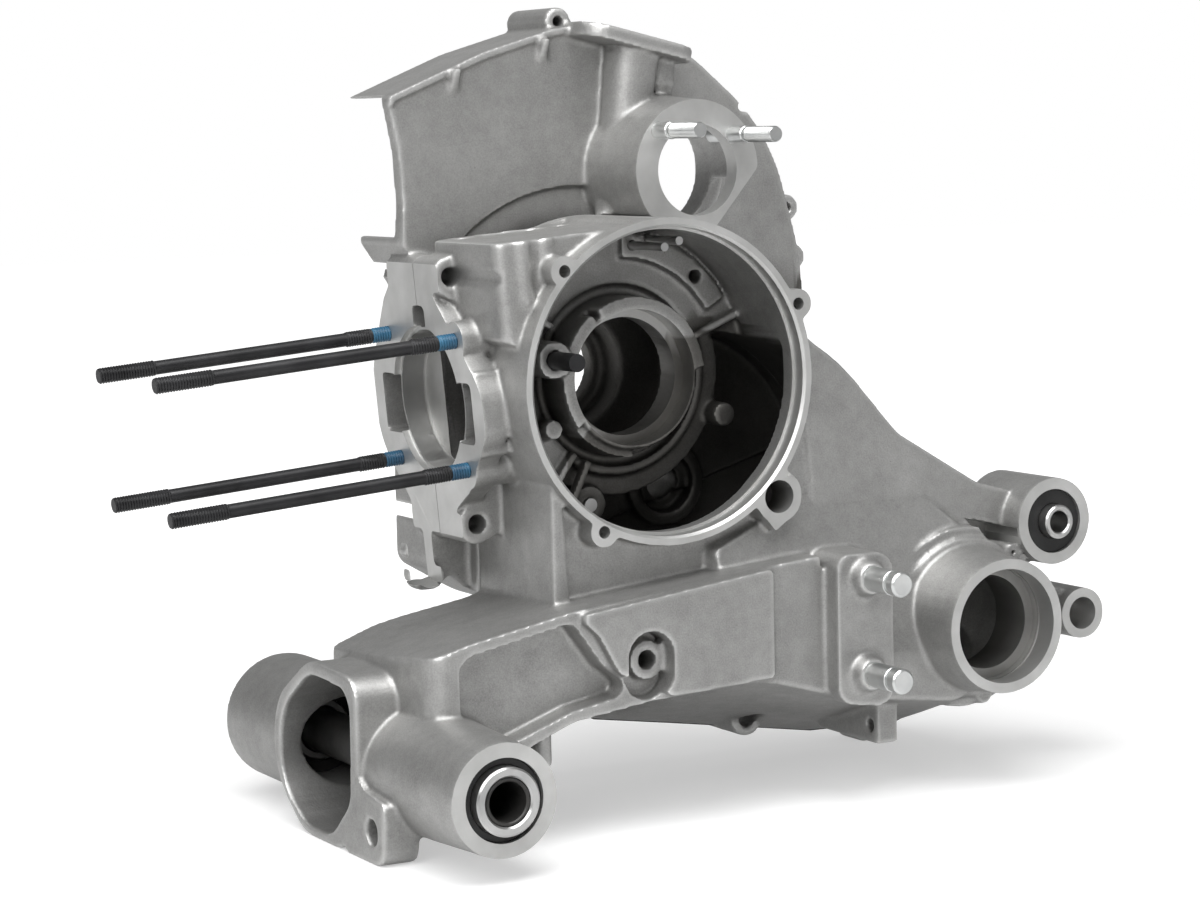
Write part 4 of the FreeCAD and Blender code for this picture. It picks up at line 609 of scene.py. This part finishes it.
def assembled(name, node, parts):
    # one piece from several meshes, each with its own material
    form = bmesh.new()
    materials = []
    for mesh, item in parts:
        first = len(form.faces)
        form.from_mesh(mesh)
        form.faces.ensure_lookup_table()
        if item not in materials:
            materials.append(item)
        for face in form.faces[first:]:
            face.material_index = materials.index(item)
    mesh = bpy.data.meshes.new(name)
    form.to_mesh(mesh)
    form.free()
    piece = show(name, mesh, materials)
    shaded(mesh)
    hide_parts(node)
    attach(piece, "root")
    return piece


def steel(name, dark, light, metallic, low, high, grain=420.0):
    # plain finish with a broad drift of tone and fine grain in its roughness
    made, tree, shader = material(name, metallic, (low + high) / 2)
    where = place(tree, "TexCoord").outputs["Object"]
    fine = place(tree, "TexNoise", {"Vector": where, "Scale": grain, "Detail": 4.0, "Roughness": 0.6})
    broad = place(tree, "TexNoise", {"Vector": where, "Scale": 60.0, "Detail": 3.0})
    tree.links.new(
        blended(tree, ramp(tree, broad.outputs[0], 0.3, 0.7), dark, light), shader.inputs["Base Color"]
    )
    tree.links.new(
        place(tree, "MapRange", {"Value": fine.outputs[0], "To Min": low, "To Max": high}).outputs[0],
        shader.inputs["Roughness"],
    )
    tree.links.new(
        place(tree, "Bump", {"Height": fine.outputs[0], "Distance": 0.02 * MM, "Strength": 0.4}).outputs[0],
        shader.inputs["Normal"],
    )
    return made


black_oxide = steel("black_oxide", (0.012, 0.012, 0.013, 1), (0.03, 0.03, 0.032, 1), 0.4, 0.34, 0.52)
thread_locker = steel("thread_locker", (0.012, 0.05, 0.10, 1), (0.03, 0.15, 0.26, 1), 0.0, 0.3, 0.5, 900.0)

for corner in ("upper_near", "upper_far", "lower_near", "lower_far"):
    low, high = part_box("cylinder_stud_" + corner)
    middle = (low + high) / 2 / MM
    tip = middle - AFT * STUD_LENGTH / 2
    shank = STUD_LENGTH - STUD_TIP - STUD_ROOT + 2.0
    bare = STUD_ROOT - LOCKER
    root = tip + AFT * (STUD_LENGTH - STUD_ROOT)
    locked = tip + AFT * (STUD_LENGTH - LOCKER)
    assembled(
        "stud_" + corner, "cylinder_stud_" + corner,
        [
            (threaded("thread", tip, AFT, STUD_THREAD_R, STUD_TIP, PITCH, THREAD_CUT), black_oxide),
            (rod(tip + AFT * (STUD_TIP - 1.0), AFT, STUD_R, shank, 48), black_oxide),
            (threaded("thread", root, AFT, STUD_THREAD_R, bare, PITCH, THREAD_CUT), black_oxide),
            (threaded("thread", locked, AFT, STUD_THREAD_R, LOCKER, PITCH, THREAD_CUT), thread_locker),
        ],
    )


# Starter motor studs and brake shoe pins, of zinc-plated steel. The studs have a rolled thread and
# a collar and are screwed into the starter seat. The pins have a clip groove and are pressed in.
zinc = steel("zinc_steel", (0.55, 0.56, 0.56, 1), (0.80, 0.81, 0.80, 1), 1.0, 0.22, 0.4)
STARTER_COLLAR = 24.6
for side in ("left", "right"):
    low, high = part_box("starter_stud_" + side)
    middle = (low + high) / 2 / MM
    tip = Vector((middle.x, low.y / MM, middle.z))
    length = (high.y - low.y) / MM
    collar = STARTER_COLLAR
    assembled(
        "starter_" + side, "starter_stud_" + side,
        [
            (threaded("thread", tip, ACROSS, 3.6, collar - 1.5, PITCH, 0.45), zinc),
            (rod(tip + ACROSS * (collar - 2.5), ACROSS, 3.2, 3.0, 48), zinc),
            (turned("collar", tip + ACROSS * collar, ACROSS,
                    [(0.0, 3.5), (0.4, 3.9), (length - collar, 3.9)], 64), zinc),
        ],
    )
for level in ("upper", "lower"):
    low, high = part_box("brake_pin_" + level)
    middle = (low + high) / 2 / MM
    tip = Vector((middle.x, low.y / MM, middle.z))
    length = (high.y - low.y) / MM
    assembled(
        "pin_" + level, "brake_pin_" + level,
        [(turned("pin", tip, ACROSS, [
            (0.0, 4.6), (0.25, 5.0), (1.0, 5.6), (5.2, 5.6), (5.5, 5.3), (5.5, 4.6), (7.5, 4.6), (7.5, 5.3),
            (7.8, 5.6), (length, 5.6)], 96), zinc)],
    )


# Rubber bushes with steel sleeves in the pivot and the shock absorber lug, pressed in, and the
# steel spacer tube that runs through the pivot between them.
rubber = steel("rubber", (0.010, 0.010, 0.010, 1), (0.022, 0.022, 0.022, 1), 0.0, 0.45, 0.7, 600.0)
bright = steel("bright_steel", (0.40, 0.40, 0.40, 1), (0.62, 0.62, 0.61, 1), 1.0, 0.24, 0.4)
dark_steel = steel("dark_steel", (0.03, 0.03, 0.03, 1), (0.07, 0.068, 0.065, 1), 0.6, 0.35, 0.55)


def sleeve(name, node, item, outer, inner, chamfer=0.5, sides=96):
    low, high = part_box(node)
    middle = (low + high) / 2 / MM
    length = (high.y - low.y) / MM
    profile = [
        (chamfer, outer), (length - chamfer, outer), (length, outer - chamfer), (length, inner + chamfer),
        (length - chamfer, inner), (chamfer, inner), (0.0, inner + chamfer), (0.0, outer - chamfer),
    ]
    mesh = turned(name, (middle.x, low.y / MM, middle.z), ACROSS, profile, sides, hollow=True)
    return assembled(name, node, [(mesh, item)])


sleeve("pivot_bush_near", "pivot_rubber_near", rubber, 17.7, 14.4)
sleeve("pivot_bush_far", "pivot_rubber_far", rubber, 20.0, 14.4)
sleeve("pivot_steel_near", "pivot_sleeve_near", bright, 14.4, 10.25, 0.8)
sleeve("pivot_steel_far", "pivot_sleeve_far", bright, 14.4, 10.25, 0.8)
sleeve("spacer_tube", "pivot_spacer_tube", dark_steel, 10.2, 8.4)
sleeve("shock_bush", "shock_bush_rubber", rubber, 15.0, 7.9)
sleeve("shock_sleeve", "shock_bush_sleeve", bright, 7.9, 5.1, 0.7)


# Small steel in the clutch chamber and the locating dowels, pressed or screwed into the castings,
# and the thin paper gasket that is clamped between the halves.
gasket = steel("gasket_paper", (0.05, 0.05, 0.048, 1), (0.09, 0.088, 0.08, 1), 0.0, 0.7, 0.9)
for node, item in (
    ("case_stud", black_oxide), ("gallery_plug", bright), ("guide_pin_left", bright),
    ("guide_pin_right", bright), ("case_dowel_rear", bright), ("case_dowel_front", bright),
    ("case_gasket", gasket),
):
    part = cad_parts[node]
    part.data.materials.clear()
    part.data.materials.append(item)


# Studio: pale seamless floor that keeps the shadow, broad soft lamps and a white surround. What the
# camera sees of floor and surround is brighter than what they send onto the castings.
FLOOR_HALF = 6.0
floor_z = cad_box[0].z
form = bmesh.new()
bmesh.ops.create_grid(form, x_segments=1, y_segments=1, size=FLOOR_HALF)
floor_mesh = bpy.data.meshes.new("studio_floor")
form.to_mesh(floor_mesh)
form.free()
floor = show("studio_floor", floor_mesh)
floor.location = (0.0, 0.0, floor_z)
paper = bpy.data.materials.new("studio_paper")
paper.use_nodes = True
tree = paper.node_tree
tree.nodes.clear()
ray = place(tree, "LightPath")
mirrored = place(tree, "Math", {0: ray.outputs["Is Glossy Ray"], 1: 0.45}, operation="MULTIPLY")
seen = place(tree, "Math", {0: ray.outputs["Is Camera Ray"], 1: mirrored.outputs[0]}, operation="MAXIMUM")
through = ray.outputs["Is Transmission Ray"]
seen = place(tree, "Math", {0: seen.outputs[0], 1: through}, operation="MAXIMUM")
where = place(tree, "TexCoord").outputs["Object"]
away = place(tree, "VectorMath", {0: where}, operation="LENGTH").outputs["Value"]
white = place(
    tree, "MapRange", {"Value": away, "From Min": 0.35, "From Max": 1.1, "To Min": 0.46, "To Max": 1.0}
)
glow = place(tree, "Math", {0: seen.outputs[0], 1: white.outputs[0]}, operation="MULTIPLY")
both = place(tree, "AddShader")
lit = place(tree, "BsdfDiffuse", {"Color": (0.62, 0.62, 0.62, 1.0)})
shine = place(tree, "Emission", {"Strength": glow.outputs[0]})
tree.links.new(lit.outputs[0], both.inputs[0])
tree.links.new(shine.outputs[0], both.inputs[1])
tree.links.new(both.outputs[0], place(tree, "OutputMaterial").inputs["Surface"])
floor_mesh.materials.append(paper)

world = bpy.data.worlds.new("studio")
bpy.context.scene.world = world
world.use_nodes = True
tree = world.node_tree
tree.nodes.clear()
ray = place(tree, "LightPath")
surround = place(tree, "MapRange", {"Value": ray.outputs["Is Camera Ray"], "To Min": 0.26, "To Max": 1.0})
sky = place(tree, "Background", {"Color": (1.0, 1.0, 1.0, 1.0), "Strength": surround.outputs[0]})
tree.links.new(sky.outputs[0], place(tree, "OutputWorld").inputs["Surface"])


def lamp(name, spot, aim, size, power):
    light = bpy.data.lights.new(name, "AREA")
    light.shape = "RECTANGLE"
    light.size, light.size_y = size
    light.energy = power
    holder = bpy.data.objects.new(name, light)
    bpy.context.scene.collection.objects.link(holder)
    holder.location = spot
    holder.rotation_euler = (Vector(aim) - Vector(spot)).to_track_quat("-Z", "Y").to_euler()


lamp("overhead", (-0.30, -0.36, 1.15), (0.0, 0.05, -0.02), (1.3, 1.0), 23.0)
lamp("front_left", (-1.00, -0.80, 0.70), (0.0, 0.0, 0.0), (0.7, 0.7), 8.0)
lamp("right", (1.15, -0.75, 0.75), (0.08, 0.0, -0.05), (0.6, 0.9), 1.2)
bpy.context.scene.view_settings.view_transform = "Standard"


# Camera in front of the clutch side and a little above, with a long lens on a full frame.
camera_data = bpy.data.cameras.new("camera")
camera_data.lens = 94.63
camera_data.sensor_width = 36.0
camera_data.sensor_fit = "HORIZONTAL"
camera = bpy.data.objects.new("camera", camera_data)
bpy.context.scene.collection.objects.link(camera)
RIGHT = (0.877736, -0.478671, -0.021274)
UP = (0.068096, 0.080671, 0.994412)
AHEAD = (0.474280, 0.874280, -0.103403)
STAND = (-0.68044, -1.186754, 0.112968)
camera.matrix_world = Matrix(
    [(RIGHT[i], UP[i], -AHEAD[i], STAND[i]) for i in range(3)] + [(0.0, 0.0, 0.0, 1.0)]
)
bpy.context.scene.camera = camera
